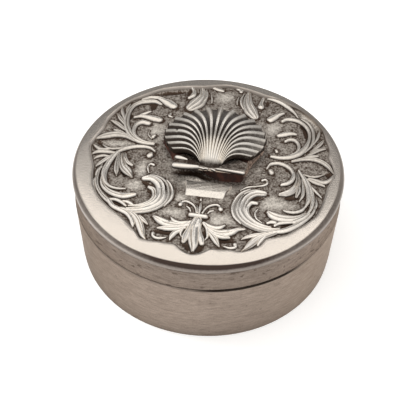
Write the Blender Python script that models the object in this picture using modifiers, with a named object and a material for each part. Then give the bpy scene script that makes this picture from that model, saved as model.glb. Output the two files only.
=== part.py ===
"""A round pewter keepsake box with a lift-off lid, a scrollwork field and a cast scallop shell.

The frame has +Z up, and its origin is at the centre of the foot. The shell's hinge faces -Y,
which is the front. All lengths are in metres.
"""

import math

import bmesh
import bpy
from mathutils import Vector

# Driving sizes of the drum
LID_RADIUS = 0.045
BODY_HEIGHT = 0.0252
LID_HEIGHT = 0.0108
FOOT_TAPER = 0.0007
WALL = 0.0014
EDGE_BREAK = 0.0003
FIT = 0.0003
TURNED_STEPS = 72

FOOT_RADIUS = LID_RADIUS - FOOT_TAPER
INNER_RADIUS = FOOT_RADIUS - WALL
BOX_HEIGHT = BODY_HEIGHT + LID_HEIGHT

# The floor disc, soldered inside the foot of the wall
FLOOR_THICKNESS = 0.0013

# The collar that the lid slides over, soldered inside the wall
COLLAR_THICKNESS = 0.0009
COLLAR_BELOW_SEAM = 0.0095
COLLAR_HEAD_ROOM = 0.0034

# The lid's top plate
PLATE_EDGE_ROUND = 0.0014
PLATE_EDGE_LAND = 0.0003
PLATE_THICKNESS = 0.0026
PLATE_ROUND_STEPS = 5
FIELD_DEPTH = 0.0009
LID_WALL_SET_BACK = 0.00025

# The scrollwork that stands up from the field
BEAD_RISE_SHARE = 0.55
BEAD_SINK = 0.0003
BEAD_LEAST_HALF_WIDTH = 0.00022

# The blank tablet in front of the shell
TABLET_BEVEL = 0.0003
TABLET_SINK = 0.0005
TABLET_RISE = 0.0006

# The cast scallop shell, hollow below, which leans back on its bed
SHELL_RIBS = 19
SHELL_STEPS_PER_RIB = 4
SHELL_STEPS_ALONG = 12
SHELL_HINGE_LIFT = 0.0037
SHELL_BACK_LIFT = 0.0006
SHELL_DOME = 0.0048
SHELL_EDGE = 0.0010
SHELL_WALL = 0.0012
SHELL_RIB_RISE = 0.0006
SHELL_RIM_SCALLOP = 0.0003
SHELL_HUB_HALF_WIDTH = 0.0026

# The two flat ears of the shell's hinge
EAR_THICKNESS = 0.0012
EAR_LIP_RISE = 0.0004
EAR_LIP_DEPTH = 0.0012

# How far the field's cutter stands out of the plate
OVERRUN = 0.002

# Points closer than this are one point
WELD = 0.00001

# Places on the lid are shares of its radius, with +X to the right and +Y to the back.
# The shell's hinge line, its hub, and the rib ends from the middle one to the outermost.
HINGE_SHARE = -0.155
HUB_SHARE = (0.022, -0.130)
SHELL_MIDDLE_SHARE = 0.018
RIB_END_SHARES = (
    (0.000, 0.598), (0.095, 0.580), (0.188, 0.536), (0.267, 0.482), (0.326, 0.413),
    (0.366, 0.325), (0.381, 0.237), (0.372, 0.152), (0.340, 0.088), (0.297, 0.028),
)
# How far along the straight line a rib's guide point lies, and how far it is drawn back.
RIB_LEAVE_SHARE = 0.2
RIB_BOW_OUTER_SHARE = 0.05
RIB_BOW_MIDDLE_SHARE = 0.33
# The dome's top lies nearer the hub, and is lower on the outer ribs.
DOME_LEAN = 0.756
DOME_FULLNESS = 0.85
DOME_OUTER_SHARE = 0.45

RIGHT_EAR_SHARES = (
    (0.010, -0.155), (0.275, -0.155), (0.292, -0.045), (0.210, -0.005), (0.090, -0.070),
    (0.030, -0.110),
)
LEFT_EAR_SHARES = (
    (0.030, -0.155), (0.010, -0.110), (-0.040, -0.070), (-0.165, -0.005), (-0.250, -0.045),
    (-0.238, -0.155),
)

BED_OUTLINE_SHARES = (
    (-0.215, -0.140), (0.262, -0.140), (0.275, -0.060), (0.300, 0.060), (0.365, 0.180),
    (0.375, 0.290), (0.330, 0.400), (-0.310, 0.400), (-0.352, 0.290), (-0.342, 0.180),
    (-0.275, 0.060), (-0.230, -0.040),
)

TABLET_SHARES = (
    (-0.120, -0.335), (0.152, -0.335), (0.165, -0.260), (0.192, -0.200), (-0.140, -0.200),
)

FIELD_OUTLINE_SHARES = (
    (0.000, -0.885), (-0.050, -0.855), (-0.110, -0.805), (-0.220, -0.800), (-0.330, -0.795),
    (-0.395, -0.745), (-0.455, -0.700), (-0.510, -0.635), (-0.610, -0.565), (-0.700, -0.485),
    (-0.770, -0.385), (-0.810, -0.270), (-0.830, -0.130), (-0.875, -0.045), (-0.915, 0.070),
    (-0.885, 0.190), (-0.840, 0.290), (-0.820, 0.390), (-0.780, 0.510), (-0.710, 0.620),
    (-0.600, 0.715), (-0.480, 0.785), (-0.320, 0.850), (-0.150, 0.890), (0.030, 0.915),
    (0.200, 0.885), (0.360, 0.830), (0.500, 0.775), (0.620, 0.690), (0.720, 0.590),
    (0.790, 0.480), (0.840, 0.370), (0.870, 0.250), (0.905, 0.140), (0.928, 0.030),
    (0.890, -0.095), (0.845, -0.220), (0.820, -0.340), (0.765, -0.450), (0.690, -0.545),
    (0.590, -0.625), (0.500, -0.660), (0.450, -0.735), (0.380, -0.795), (0.230, -0.805),
    (0.110, -0.805), (0.055, -0.855),
)

# Each bead is its middle line and its half widths, in shares of the lid's radius.
BEAD_SHARES = {
    "front_left_ring": (
        ((-0.440, -0.222), (-0.375, -0.205), (-0.305, -0.232), (-0.262, -0.300), (-0.262, -0.385),
         (-0.305, -0.460), (-0.375, -0.520), (-0.460, -0.545), (-0.560, -0.535)),
        (0.012, 0.034, 0.048, 0.052, 0.050, 0.046, 0.040, 0.032, 0.020),
    ),
    "front_left_hook": (
        ((-0.388, -0.306), (-0.350, -0.332), (-0.332, -0.388), (-0.348, -0.440), (-0.400, -0.486)),
        (0.014, 0.018, 0.018, 0.016, 0.008),
    ),
    "front_left_stem": (
        ((-0.460, 0.113), (-0.540, 0.100), (-0.625, 0.050), (-0.700, -0.020), (-0.742, -0.110),
         (-0.752, -0.210), (-0.732, -0.310), (-0.680, -0.400), (-0.610, -0.480), (-0.520, -0.548)),
        (0.012, 0.022, 0.030, 0.034, 0.036, 0.036, 0.034, 0.034, 0.034, 0.024),
    ),
    "front_left_inner_leaf": (
        ((-0.715, -0.300), (-0.660, -0.368), (-0.580, -0.402), (-0.510, -0.398), (-0.478, -0.382)),
        (0.012, 0.028, 0.030, 0.028, 0.018),
    ),
    "front_left_small_leaf": (
        ((-0.705, -0.285), (-0.660, -0.328), (-0.600, -0.346), (-0.555, -0.345)),
        (0.010, 0.014, 0.013, 0.006),
    ),
    "front_left_upper_leaf": (
        ((-0.650, 0.010), (-0.642, -0.070), (-0.612, -0.140), (-0.570, -0.188), (-0.540, -0.212)),
        (0.012, 0.022, 0.028, 0.024, 0.010),
    ),
    "front_left_drop_leaf": (
        ((-0.680, -0.020), (-0.681, -0.100), (-0.668, -0.165), (-0.652, -0.220)),
        (0.008, 0.017, 0.016, 0.006),
    ),
    "front_left_spray": (
        ((-0.520, -0.560), (-0.440, -0.610), (-0.392, -0.680), (-0.362, -0.740), (-0.322, -0.784)),
        (0.016, 0.026, 0.026, 0.020, 0.007),
    ),
    "front_left_spray_tip": (
        ((-0.475, -0.590), (-0.448, -0.640), (-0.434, -0.692)),
        (0.014, 0.017, 0.006),
    ),
    "front_right_ring": (
        ((0.440, -0.258), (0.372, -0.250), (0.305, -0.290), (0.268, -0.360), (0.268, -0.430),
         (0.305, -0.500), (0.372, -0.555), (0.450, -0.585), (0.550, -0.580)),
        (0.026, 0.034, 0.042, 0.044, 0.044, 0.042, 0.038, 0.030, 0.020),
    ),
    "front_right_hook": (
        ((0.385, -0.352), (0.345, -0.352), (0.324, -0.400), (0.336, -0.456), (0.380, -0.512)),
        (0.016, 0.018, 0.017, 0.015, 0.008),
    ),
    "front_right_stem": (
        ((0.450, 0.050), (0.530, 0.078), (0.605, 0.040), (0.668, -0.020), (0.722, -0.090),
         (0.752, -0.190), (0.756, -0.290), (0.735, -0.400), (0.680, -0.495), (0.595, -0.570),
         (0.500, -0.612)),
        (0.012, 0.022, 0.026, 0.030, 0.032, 0.034, 0.034, 0.034, 0.034, 0.034, 0.024),
    ),
    "front_right_inner_leaf": (
        ((0.740, -0.410), (0.690, -0.448), (0.620, -0.462), (0.550, -0.452), (0.490, -0.428)),
        (0.010, 0.026, 0.034, 0.034, 0.014),
    ),
    "front_right_small_leaf": (
        ((0.732, -0.330), (0.690, -0.382), (0.640, -0.398), (0.585, -0.388)),
        (0.010, 0.014, 0.013, 0.006),
    ),
    "front_right_upper_leaf": (
        ((0.640, -0.010), (0.650, -0.090), (0.628, -0.160), (0.588, -0.214), (0.556, -0.246)),
        (0.012, 0.022, 0.028, 0.026, 0.012),
    ),
    "front_right_drop_leaf": (
        ((0.672, -0.060), (0.678, -0.140), (0.670, -0.205), (0.652, -0.255)),
        (0.008, 0.016, 0.016, 0.006),
    ),
    "front_right_spray": (
        ((0.510, -0.612), (0.440, -0.655), (0.392, -0.715), (0.360, -0.762), (0.330, -0.796)),
        (0.016, 0.028, 0.028, 0.020, 0.007),
    ),
    "front_right_spray_tip": (
        ((0.480, -0.640), (0.440, -0.690), (0.430, -0.730)),
        (0.014, 0.017, 0.006),
    ),
    "front_palmette_middle": (
        ((0.000, -0.565), (0.000, -0.640), (0.000, -0.720), (0.000, -0.785), (0.000, -0.850)),
        (0.026, 0.036, 0.040, 0.030, 0.008),
    ),
    "front_palmette_left_lobe": (
        ((-0.028, -0.620), (-0.052, -0.700), (-0.060, -0.770)),
        (0.014, 0.022, 0.010),
    ),
    "front_palmette_right_lobe": (
        ((0.028, -0.620), (0.052, -0.700), (0.060, -0.770)),
        (0.014, 0.022, 0.010),
    ),
    "front_palmette_left_low_leaf": (
        ((-0.060, -0.640), (-0.120, -0.680), (-0.150, -0.725), (-0.164, -0.780)),
        (0.014, 0.020, 0.020, 0.007),
    ),
    "front_palmette_right_low_leaf": (
        ((0.060, -0.640), (0.125, -0.700), (0.155, -0.740), (0.174, -0.778)),
        (0.014, 0.020, 0.020, 0.007),
    ),
    "front_palmette_left_wing": (
        ((-0.040, -0.600), (-0.120, -0.640), (-0.190, -0.640), (-0.250, -0.612), (-0.308, -0.580)),
        (0.016, 0.028, 0.034, 0.026, 0.008),
    ),
    "front_palmette_right_wing": (
        ((0.040, -0.600), (0.115, -0.645), (0.185, -0.652), (0.250, -0.628), (0.328, -0.606)),
        (0.016, 0.028, 0.034, 0.024, 0.008),
    ),
    "knot": (
        ((-0.058, -0.527), (0.000, -0.527), (0.053, -0.527)),
        (0.017, 0.017, 0.017),
    ),
    "knot_left_curl": (
        ((-0.020, -0.505), (-0.038, -0.450), (-0.070, -0.415), (-0.110, -0.402), (-0.138, -0.430)),
        (0.010, 0.010, 0.010, 0.012, 0.020),
    ),
    "knot_right_curl": (
        ((0.020, -0.505), (0.040, -0.452), (0.072, -0.420), (0.110, -0.408), (0.140, -0.435)),
        (0.010, 0.010, 0.010, 0.012, 0.020),
    ),
    "back_left_stem": (
        ((-0.560, 0.175), (-0.625, 0.215), (-0.672, 0.290), (-0.698, 0.390), (-0.694, 0.490),
         (-0.655, 0.580), (-0.590, 0.635), (-0.520, 0.652), (-0.465, 0.622)),
        (0.012, 0.024, 0.030, 0.034, 0.036, 0.034, 0.030, 0.024, 0.010),
    ),
    "back_left_hook": (
        ((-0.515, 0.375), (-0.580, 0.382), (-0.608, 0.310), (-0.592, 0.232), (-0.540, 0.184),
         (-0.470, 0.168)),
        (0.018, 0.020, 0.019, 0.018, 0.018, 0.010),
    ),
    "back_left_blob_leaf": (
        ((-0.630, 0.405), (-0.585, 0.448), (-0.520, 0.452), (-0.455, 0.446)),
        (0.010, 0.020, 0.024, 0.022),
    ),
    "back_left_top_leaf": (
        ((-0.500, 0.705), (-0.445, 0.675), (-0.390, 0.640), (-0.360, 0.615)),
        (0.012, 0.030, 0.034, 0.018),
    ),
    "back_right_stem": (
        ((0.560, 0.135), (0.640, 0.165), (0.695, 0.230), (0.724, 0.330), (0.730, 0.430),
         (0.700, 0.515), (0.640, 0.575), (0.570, 0.595), (0.512, 0.566)),
        (0.012, 0.024, 0.030, 0.034, 0.036, 0.034, 0.030, 0.024, 0.012),
    ),
    "back_right_hook": (
        ((0.552, 0.335), (0.600, 0.364), (0.646, 0.310), (0.646, 0.240), (0.600, 0.185),
         (0.530, 0.148)),
        (0.014, 0.019, 0.019, 0.018, 0.018, 0.010),
    ),
    "back_right_blob_leaf": (
        ((0.600, 0.440), (0.560, 0.425), (0.520, 0.405), (0.485, 0.385)),
        (0.010, 0.024, 0.028, 0.018),
    ),
    "back_right_top_leaf": (
        ((0.560, 0.668), (0.500, 0.648), (0.460, 0.615), (0.425, 0.580)),
        (0.010, 0.024, 0.028, 0.014),
    ),
    "left_palmette_upper": (
        ((-0.600, 0.170), (-0.690, 0.215), (-0.780, 0.212), (-0.862, 0.165)),
        (0.012, 0.028, 0.036, 0.012),
    ),
    "left_palmette_lower": (
        ((-0.620, 0.090), (-0.710, 0.058), (-0.800, 0.055), (-0.880, 0.080)),
        (0.010, 0.022, 0.028, 0.010),
    ),
    "left_palmette_skirt": (
        ((-0.690, 0.035), (-0.760, 0.005), (-0.848, -0.030)),
        (0.010, 0.022, 0.008),
    ),
    "right_palmette_upper": (
        ((0.640, 0.128), (0.730, 0.160), (0.820, 0.142), (0.885, 0.095), (0.912, 0.035)),
        (0.012, 0.028, 0.030, 0.024, 0.010),
    ),
    "right_palmette_lower": (
        ((0.660, 0.030), (0.740, -0.012), (0.820, -0.020), (0.880, -0.025)),
        (0.010, 0.022, 0.028, 0.010),
    ),
    "right_palmette_skirt": (
        ((0.720, -0.050), (0.780, -0.070), (0.850, -0.105)),
        (0.010, 0.022, 0.008),
    ),
    "back_palmette_left_leaf": (
        ((-0.150, 0.845), (-0.150, 0.770), (-0.190, 0.695), (-0.228, 0.630)),
        (0.014, 0.036, 0.044, 0.020),
    ),
    "back_palmette_right_leaf": (
        ((0.190, 0.840), (0.210, 0.770), (0.248, 0.690), (0.290, 0.600)),
        (0.014, 0.038, 0.044, 0.018),
    ),
    "back_palmette_middle": (
        ((0.030, 0.870), (0.035, 0.800), (0.040, 0.720)),
        (0.016, 0.048, 0.030),
    ),
}

# Each material's colour, roughness and how metallic it is
MATERIALS = {
    "brushed_pewter": ((0.42, 0.385, 0.350), 0.46, 1.0),
    "polished_pewter": ((0.56, 0.525, 0.485), 0.30, 1.0),
    "cast_pewter": ((0.50, 0.470, 0.430), 0.28, 1.0),
    "solder_bed": ((0.150, 0.070, 0.045), 0.55, 0.2),
}


def clear_scene():
    for obj in list(bpy.data.objects):
        bpy.data.objects.remove(obj)


def make_collection(name):
    collection = bpy.data.collections.new(name)
    bpy.context.scene.collection.children.link(collection)
    return collection


def make_material(name):
    colour, roughness, metallic = MATERIALS[name]
    material = bpy.data.materials.new(name)
    material.use_nodes = True
    shader = material.node_tree.nodes["Principled BSDF"]
    shader.inputs["Base Color"].default_value = (*colour, 1.0)
    shader.inputs["Roughness"].default_value = roughness
    shader.inputs["Metallic"].default_value = metallic
    return material


def add_object(name, mesh, collection, material=None):
    obj = bpy.data.objects.new(name, mesh)
    collection.objects.link(obj)
    if material is not None:
        mesh.materials.append(material)
    return obj


def make_helper(obj):
    """Marks a cutter or a guide, which isn't a piece of the box."""
    obj.hide_render = True
    obj.display_type = "WIRE"
    return obj


def turned(name, profile, collection, material):
    """A ring or disc turned about Z. The profile runs down the outer side, in metres."""
    mesh = bpy.data.meshes.new(name)
    points = [(radius, 0.0, height) for radius, height in profile]
    edges = [(i, i + 1) for i in range(len(points) - 1)]
    if profile[0][0] > 0.0:
        edges.append((len(points) - 1, 0))
    mesh.from_pydata(points, edges, [])
    obj = add_object(name, mesh, collection, material)
    screw = obj.modifiers.new("turn", "SCREW")
    screw.steps = TURNED_STEPS
    screw.render_steps = TURNED_STEPS
    screw.use_merge_vertices = True
    screw.merge_threshold = WELD
    screw.use_smooth_shade = True
    return obj


def evaluated_mesh(obj):
    graph = bpy.context.evaluated_depsgraph_get()
    mesh = bpy.data.meshes.new_from_object(obj.evaluated_get(graph))
    return mesh


def boolean(obj, operation, other=None, collection=None):
    modifier = obj.modifiers.new(operation.lower(), "BOOLEAN")
    modifier.operation = operation
    modifier.solver = "EXACT"
    if collection is None:
        modifier.object = other
    else:
        modifier.operand_type = "COLLECTION"
        modifier.collection = collection
    return modifier


def bevel(obj, width):
    modifier = obj.modifiers.new("bevel", "BEVEL")
    modifier.width = width
    modifier.segments = 2
    modifier.limit_method = "ANGLE"
    return modifier


def on_lid(share_point, height=0.0):
    """A point on the lid, from shares of its radius."""
    return Vector((share_point[0] * LID_RADIUS, share_point[1] * LID_RADIUS, height))


def body_wall(collection, material):
    """The drum's wall, a little narrower at the foot."""
    profile = [
        (LID_RADIUS - EDGE_BREAK, BODY_HEIGHT),
        (LID_RADIUS, BODY_HEIGHT - EDGE_BREAK),
        (FOOT_RADIUS, EDGE_BREAK),
        (FOOT_RADIUS - EDGE_BREAK, 0.0),
        (INNER_RADIUS, 0.0),
        (INNER_RADIUS, BODY_HEIGHT),
    ]
    return turned("body_wall", profile, collection, material)


def base_plate(collection, material):
    """The floor disc, let into the foot of the wall."""
    radius = INNER_RADIUS - FIT
    profile = [
        (0.0, FLOOR_THICKNESS),
        (radius, FLOOR_THICKNESS),
        (radius, 0.0),
        (0.0, 0.0),
    ]
    return turned("base_plate", profile, collection, material)


def body_collar(collection, material):
    """The inner ring, fixed in the wall, that centres the lid."""
    outer = INNER_RADIUS - FIT
    inner = outer - COLLAR_THICKNESS
    low = BODY_HEIGHT - COLLAR_BELOW_SEAM
    high = BOX_HEIGHT - PLATE_THICKNESS - COLLAR_HEAD_ROOM
    profile = [
        (outer - EDGE_BREAK, high),
        (outer, high - EDGE_BREAK),
        (outer, low),
        (inner, low),
        (inner, high),
    ]
    return turned("body_collar", profile, collection, material)


def lid_wall(collection, material):
    """The lid's rim band, which slides over the collar and seats on the body's wall."""
    outer = LID_RADIUS - LID_WALL_SET_BACK
    top = BOX_HEIGHT - PLATE_THICKNESS - FIT
    low = BODY_HEIGHT + FIT
    profile = [
        (outer, top),
        (outer, low + EDGE_BREAK),
        (outer - EDGE_BREAK, low),
        (INNER_RADIUS, low),
        (INNER_RADIUS, top),
    ]
    return turned("lid_wall", profile, collection, material)


def plate_blank(collection, material):
    """The lid's disc with its rounded edge, before the field is sunk into it."""
    under = BOX_HEIGHT - PLATE_THICKNESS
    centre = LID_RADIUS - PLATE_EDGE_ROUND
    arc = [i * math.pi / 2 / PLATE_ROUND_STEPS for i in range(PLATE_ROUND_STEPS + 1)]
    profile = [(0.0, BOX_HEIGHT)]
    profile += [
        (
            centre + PLATE_EDGE_ROUND * math.sin(angle),
            BOX_HEIGHT - PLATE_EDGE_ROUND + PLATE_EDGE_ROUND * math.cos(angle),
        )
        for angle in arc
    ]
    profile += [
        (LID_RADIUS, under + PLATE_EDGE_LAND),
        (LID_RADIUS - LID_WALL_SET_BACK, under),
        (0.0, under),
    ]
    return turned("lid_plate", profile, collection, material)


def smoothed(line):
    """The line with a point more between each two, on the smooth curve through its points."""
    before = 2 * line[0] - line[1]
    after = 2 * line[-1] - line[-2]
    padded = [before, *line, after]
    finer = [line[0]]
    for first, near, far, last in zip(padded, padded[1:], padded[2:], padded[3:]):
        finer.append((near + far) * 9 / 16 - (first + last) / 16)
        finer.append(far)
    return finer


def outline_prism(name, shares, low, high, collection, material=None):
    """A flat outline, given in shares of the lid's radius, made solid between two heights."""
    curve = bpy.data.curves.new(name, "CURVE")
    curve.dimensions = "2D"
    curve.fill_mode = "BOTH"
    curve.extrude = (high - low) / 2
    spline = curve.splines.new("POLY")
    spline.points.add(len(shares) - 1)
    for point, share in zip(spline.points, shares):
        point.co = (*on_lid(share), 1.0)
    spline.use_cyclic_u = True
    guide = bpy.data.objects.new(name + "_guide", curve)
    collection.objects.link(guide)
    guide.location.z = (high + low) / 2
    bpy.context.view_layer.update()
    mesh = evaluated_mesh(guide)
    solid = add_object(name, mesh, collection, material)
    solid.matrix_world = guide.matrix_world.copy()
    bpy.data.objects.remove(guide)
    welded = bmesh.new()
    welded.from_mesh(mesh)
    bmesh.ops.remove_doubles(welded, verts=welded.verts, dist=WELD)
    bmesh.ops.recalc_face_normals(welded, faces=welded.faces)
    welded.to_mesh(mesh)
    welded.free()
    return solid


def bead(name, shares, half_width_shares, height, collection):
    """One scroll or leaf of the relief: a tapering bar, round above and flat below the field."""
    curve = bpy.data.curves.new(name, "CURVE")
    curve.dimensions = "3D"
    curve.bevel_depth = LID_RADIUS
    curve.bevel_resolution = 1
    curve.use_fill_caps = True
    line = smoothed([Vector((*share, half)) for share, half in zip(shares, half_width_shares)])
    spline = curve.splines.new("POLY")
    spline.points.add(len(line) - 1)
    least_share = BEAD_LEAST_HALF_WIDTH / LID_RADIUS
    for point, place in zip(spline.points, line):
        point.co = (*on_lid(place), 1.0)
        point.radius = max(place.z, least_share)
    guide = bpy.data.objects.new(name + "_guide", curve)
    collection.objects.link(guide)
    bpy.context.view_layer.update()
    mesh = evaluated_mesh(guide)
    bpy.data.objects.remove(guide)
    for vertex in mesh.vertices:
        rise = vertex.co.z * BEAD_RISE_SHARE if vertex.co.z > WELD else -BEAD_SINK
        vertex.co.z = height + rise
    welded = bmesh.new()
    welded.from_mesh(mesh)
    bmesh.ops.remove_doubles(welded, verts=welded.verts, dist=WELD)
    bmesh.ops.recalc_face_normals(welded, faces=welded.faces)
    welded.to_mesh(mesh)
    welded.free()
    return add_object(name, mesh, collection)


def tablet(collection):
    """The bare tablet in front of the shell."""
    ground = BOX_HEIGHT - FIELD_DEPTH
    plate = outline_prism(
        "tablet", TABLET_SHARES, ground - TABLET_SINK, ground + TABLET_RISE, collection
    )
    bevel(plate, TABLET_BEVEL)
    return plate


def lid_plate(collection, relief, cutters, material):
    """The pressed top of the lid: a smooth border round a sunk field with its scrollwork."""
    ground = BOX_HEIGHT - FIELD_DEPTH
    plate = plate_blank(collection, material)
    outline = smoothed([Vector(share) for share in (*FIELD_OUTLINE_SHARES, FIELD_OUTLINE_SHARES[0])])
    field = outline_prism("field_cutter", outline[:-1], ground, BOX_HEIGHT + OVERRUN, cutters)
    boolean(plate, "DIFFERENCE", make_helper(field))
    for name, (shares, halves) in BEAD_SHARES.items():
        make_helper(bead(name, shares, halves, ground, relief))
    make_helper(tablet(relief))
    boolean(plate, "UNION", collection=relief)
    return plate


def rim_height(y):
    """The height of the shell's rim, which leans back from the hinge to the lid."""
    front = HINGE_SHARE * LID_RADIUS
    back = RIB_END_SHARES[0][1] * LID_RADIUS
    lean = (y - front) / (back - front)
    ground = BOX_HEIGHT - FIELD_DEPTH
    return ground + SHELL_HINGE_LIFT + (SHELL_BACK_LIFT - SHELL_HINGE_LIFT) * lean


def rib_end(side):
    """Where the rib at this place ends: side runs from -1, outermost left, to 1, right."""
    last = len(RIB_END_SHARES) - 1
    place = abs(side) * last
    index = min(int(place), last - 1)
    near = Vector(RIB_END_SHARES[index])
    far = Vector(RIB_END_SHARES[index + 1])
    share = near.lerp(far, place - index)
    sign = 1.0 if side >= 0.0 else -1.0
    return on_lid((SHELL_MIDDLE_SHARE + sign * share.x, share.y))


def rib_wave(side):
    """1 on the crest of a rib and 0 in the groove beside it."""
    return abs(math.cos(math.pi * side * (SHELL_RIBS - 1) / 2))


def shell_plan(side, along):
    """A place on the shell seen from above, on a quadratic curve from the hub to the rim."""
    hub = on_lid(HUB_SHARE)
    start = hub + Vector((side * SHELL_HUB_HALF_WIDTH, 0.0, 0.0))
    end = rib_end(side)
    end += (end - hub).normalized() * SHELL_RIM_SCALLOP * rib_wave(side)
    bow_share = RIB_BOW_OUTER_SHARE + (RIB_BOW_MIDDLE_SHARE - RIB_BOW_OUTER_SHARE) * (1 - side**2)
    middle = start.lerp(end, RIB_LEAVE_SHARE) + on_lid((0.0, bow_share))
    first = start.lerp(middle, along)
    second = middle.lerp(end, along)
    return first.lerp(second, along)


def dome_height(side, along):
    """The smooth dome's height above the rim's plane."""
    swell = math.sin(math.pi * along**DOME_LEAN)
    crown = SHELL_DOME * (1.0 - DOME_OUTER_SHARE * side**2)
    return SHELL_EDGE + crown * max(swell, 0.0) ** DOME_FULLNESS


def shell_casting(collection, helpers, material):
    """The scallop: a domed fan of ribs, hollow below, with a flat ear on each side of its hinge."""
    fan = bmesh.new()
    bmesh.ops.create_grid(
        fan, x_segments=SHELL_STEPS_PER_RIB * (SHELL_RIBS - 1), y_segments=SHELL_STEPS_ALONG, size=1.0
    )
    places = {vertex: (vertex.co.x, (vertex.co.y + 1.0) / 2) for vertex in fan.verts}
    below = bmesh.ops.extrude_face_region(fan, geom=list(fan.faces))["geom"]
    lower = [item for item in below if isinstance(item, bmesh.types.BMVert)]
    for vertex in lower:
        side, along = vertex.co.x, (vertex.co.y + 1.0) / 2
        plan = shell_plan(side, along)
        hollow = max(dome_height(side, along) - SHELL_WALL, 0.0)
        vertex.co = (plan.x, plan.y, rim_height(plan.y) + hollow)
    for vertex, (side, along) in places.items():
        plan = shell_plan(side, along)
        ridge = SHELL_RIB_RISE * rib_wave(side)
        vertex.co = (plan.x, plan.y, rim_height(plan.y) + dome_height(side, along) + ridge)
    bmesh.ops.recalc_face_normals(fan, faces=fan.faces)
    mesh = bpy.data.meshes.new("shell")
    fan.to_mesh(mesh)
    fan.free()
    shell = add_object("shell", mesh, collection, material)
    for name, shares in (("right_ear", RIGHT_EAR_SHARES), ("left_ear", LEFT_EAR_SHARES)):
        make_helper(ear(name, shares, helpers))
    make_helper(ear_lip(helpers))
    boolean(shell, "UNION", collection=helpers)
    return shell


def lean_back(obj, low, high):
    """Sets a flat plate's lower and upper face to heights above the rim's leaning plane."""
    middle = sum(vertex.co.z for vertex in obj.data.vertices) / len(obj.data.vertices)
    for vertex in obj.data.vertices:
        height = high if vertex.co.z > middle else low
        vertex.co.z = rim_height(vertex.co.y) + height
    obj.location.z = 0.0
    return obj


def ear(name, shares, collection):
    """One flat ear of the shell's hinge."""
    plate = outline_prism(name, shares, 0.0, EAR_THICKNESS, collection)
    return lean_back(plate, 0.0, EAR_THICKNESS)


def ear_lip(collection):
    """The raised lip along the hinge line."""
    depth_share = EAR_LIP_DEPTH / LID_RADIUS
    left = LEFT_EAR_SHARES[-1]
    right = RIGHT_EAR_SHARES[1]
    shares = (
        left, right, (right[0], right[1] + depth_share), (left[0], left[1] + depth_share),
    )
    plate = outline_prism("ear_lip", shares, 0.0, EAR_THICKNESS, collection)
    return lean_back(plate, EAR_THICKNESS / 2, EAR_THICKNESS + EAR_LIP_RISE)


def solder_bed(collection, material):
    """The wedge of solder and cement that carries the shell on the field."""
    ground = BOX_HEIGHT - FIELD_DEPTH
    bed = outline_prism("solder_bed", BED_OUTLINE_SHARES, 0.0, FIT, collection, material)
    middle = FIT / 2
    for vertex in bed.data.vertices:
        upper = vertex.co.z + bed.location.z > middle
        vertex.co.z = rim_height(vertex.co.y) - FIT if upper else ground + FIT
    bed.location.z = 0.0
    return bed


def main():
    clear_scene()
    box = make_collection("round_shell_box")
    cutters = make_collection("cutters")
    relief = make_collection("relief_shapes")
    hinge = make_collection("hinge_shapes")
    brushed = make_material("brushed_pewter")
    polished = make_material("polished_pewter")
    cast = make_material("cast_pewter")
    bed = make_material("solder_bed")
    body_wall(box, brushed)
    base_plate(box, brushed)
    body_collar(box, brushed)
    lid_wall(box, brushed)
    lid_plate(box, relief, cutters, polished)
    shell_casting(box, hinge, cast)
    solder_bed(box, bed)


main()
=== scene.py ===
import math

import bpy
import numpy as np
from mathutils import Matrix, Vector


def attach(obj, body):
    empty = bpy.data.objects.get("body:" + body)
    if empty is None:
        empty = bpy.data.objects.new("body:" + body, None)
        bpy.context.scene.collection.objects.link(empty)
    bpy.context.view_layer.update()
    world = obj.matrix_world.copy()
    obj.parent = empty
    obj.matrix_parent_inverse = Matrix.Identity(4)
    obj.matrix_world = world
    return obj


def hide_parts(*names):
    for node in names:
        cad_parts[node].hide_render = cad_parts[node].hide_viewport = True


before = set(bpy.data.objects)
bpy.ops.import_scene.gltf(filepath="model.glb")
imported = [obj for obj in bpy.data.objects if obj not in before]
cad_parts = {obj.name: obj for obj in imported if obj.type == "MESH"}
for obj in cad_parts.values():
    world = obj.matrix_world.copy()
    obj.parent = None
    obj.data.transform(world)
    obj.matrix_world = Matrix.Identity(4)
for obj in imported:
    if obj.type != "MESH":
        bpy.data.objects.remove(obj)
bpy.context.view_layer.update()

# ---------------------------------------------------------------- the view of the box
# The box is looked at from the front and above; the camera stands a few degrees to the
# right of its middle line and is rolled a degree and a half.
RADIUS = 0.045
FRAME_PIXELS = 416
LENS_PIXELS = 799.0
SENSOR = 36.0
LOOK_DOWN = math.radians(46.85)
TURN = math.radians(6.5)
ROLL = math.radians(1.52)
DISTANCE = 6.249 * RADIUS
LOOK_AT = Vector((0.0, 0.0, 0.3 * RADIUS))
SHIFT_RIGHT = 0.004 * RADIUS
SHIFT_UP = 0.006 * RADIUS

level = Matrix.Rotation(TURN, 3, "Z")
forward = level @ Vector((0.0, math.cos(LOOK_DOWN), -math.sin(LOOK_DOWN)))
right = level @ Vector((1.0, 0.0, 0.0))
up = right.cross(forward)
rolled_right = math.cos(ROLL) * right + math.sin(ROLL) * up
rolled_up = math.cos(ROLL) * up - math.sin(ROLL) * right
place = LOOK_AT - DISTANCE * forward + SHIFT_RIGHT * rolled_right + SHIFT_UP * rolled_up

camera_data = bpy.data.cameras.new("camera")
camera_data.sensor_width = SENSOR
camera_data.lens = LENS_PIXELS / FRAME_PIXELS * SENSOR
camera = bpy.data.objects.new("camera", camera_data)
turned_axes = Matrix((rolled_right, rolled_up, -forward)).transposed()
camera.matrix_world = Matrix.Translation(place) @ turned_axes.to_4x4()
bpy.context.scene.collection.objects.link(camera)
bpy.context.scene.camera = camera
bpy.context.scene.view_settings.view_transform = "Standard"

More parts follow.
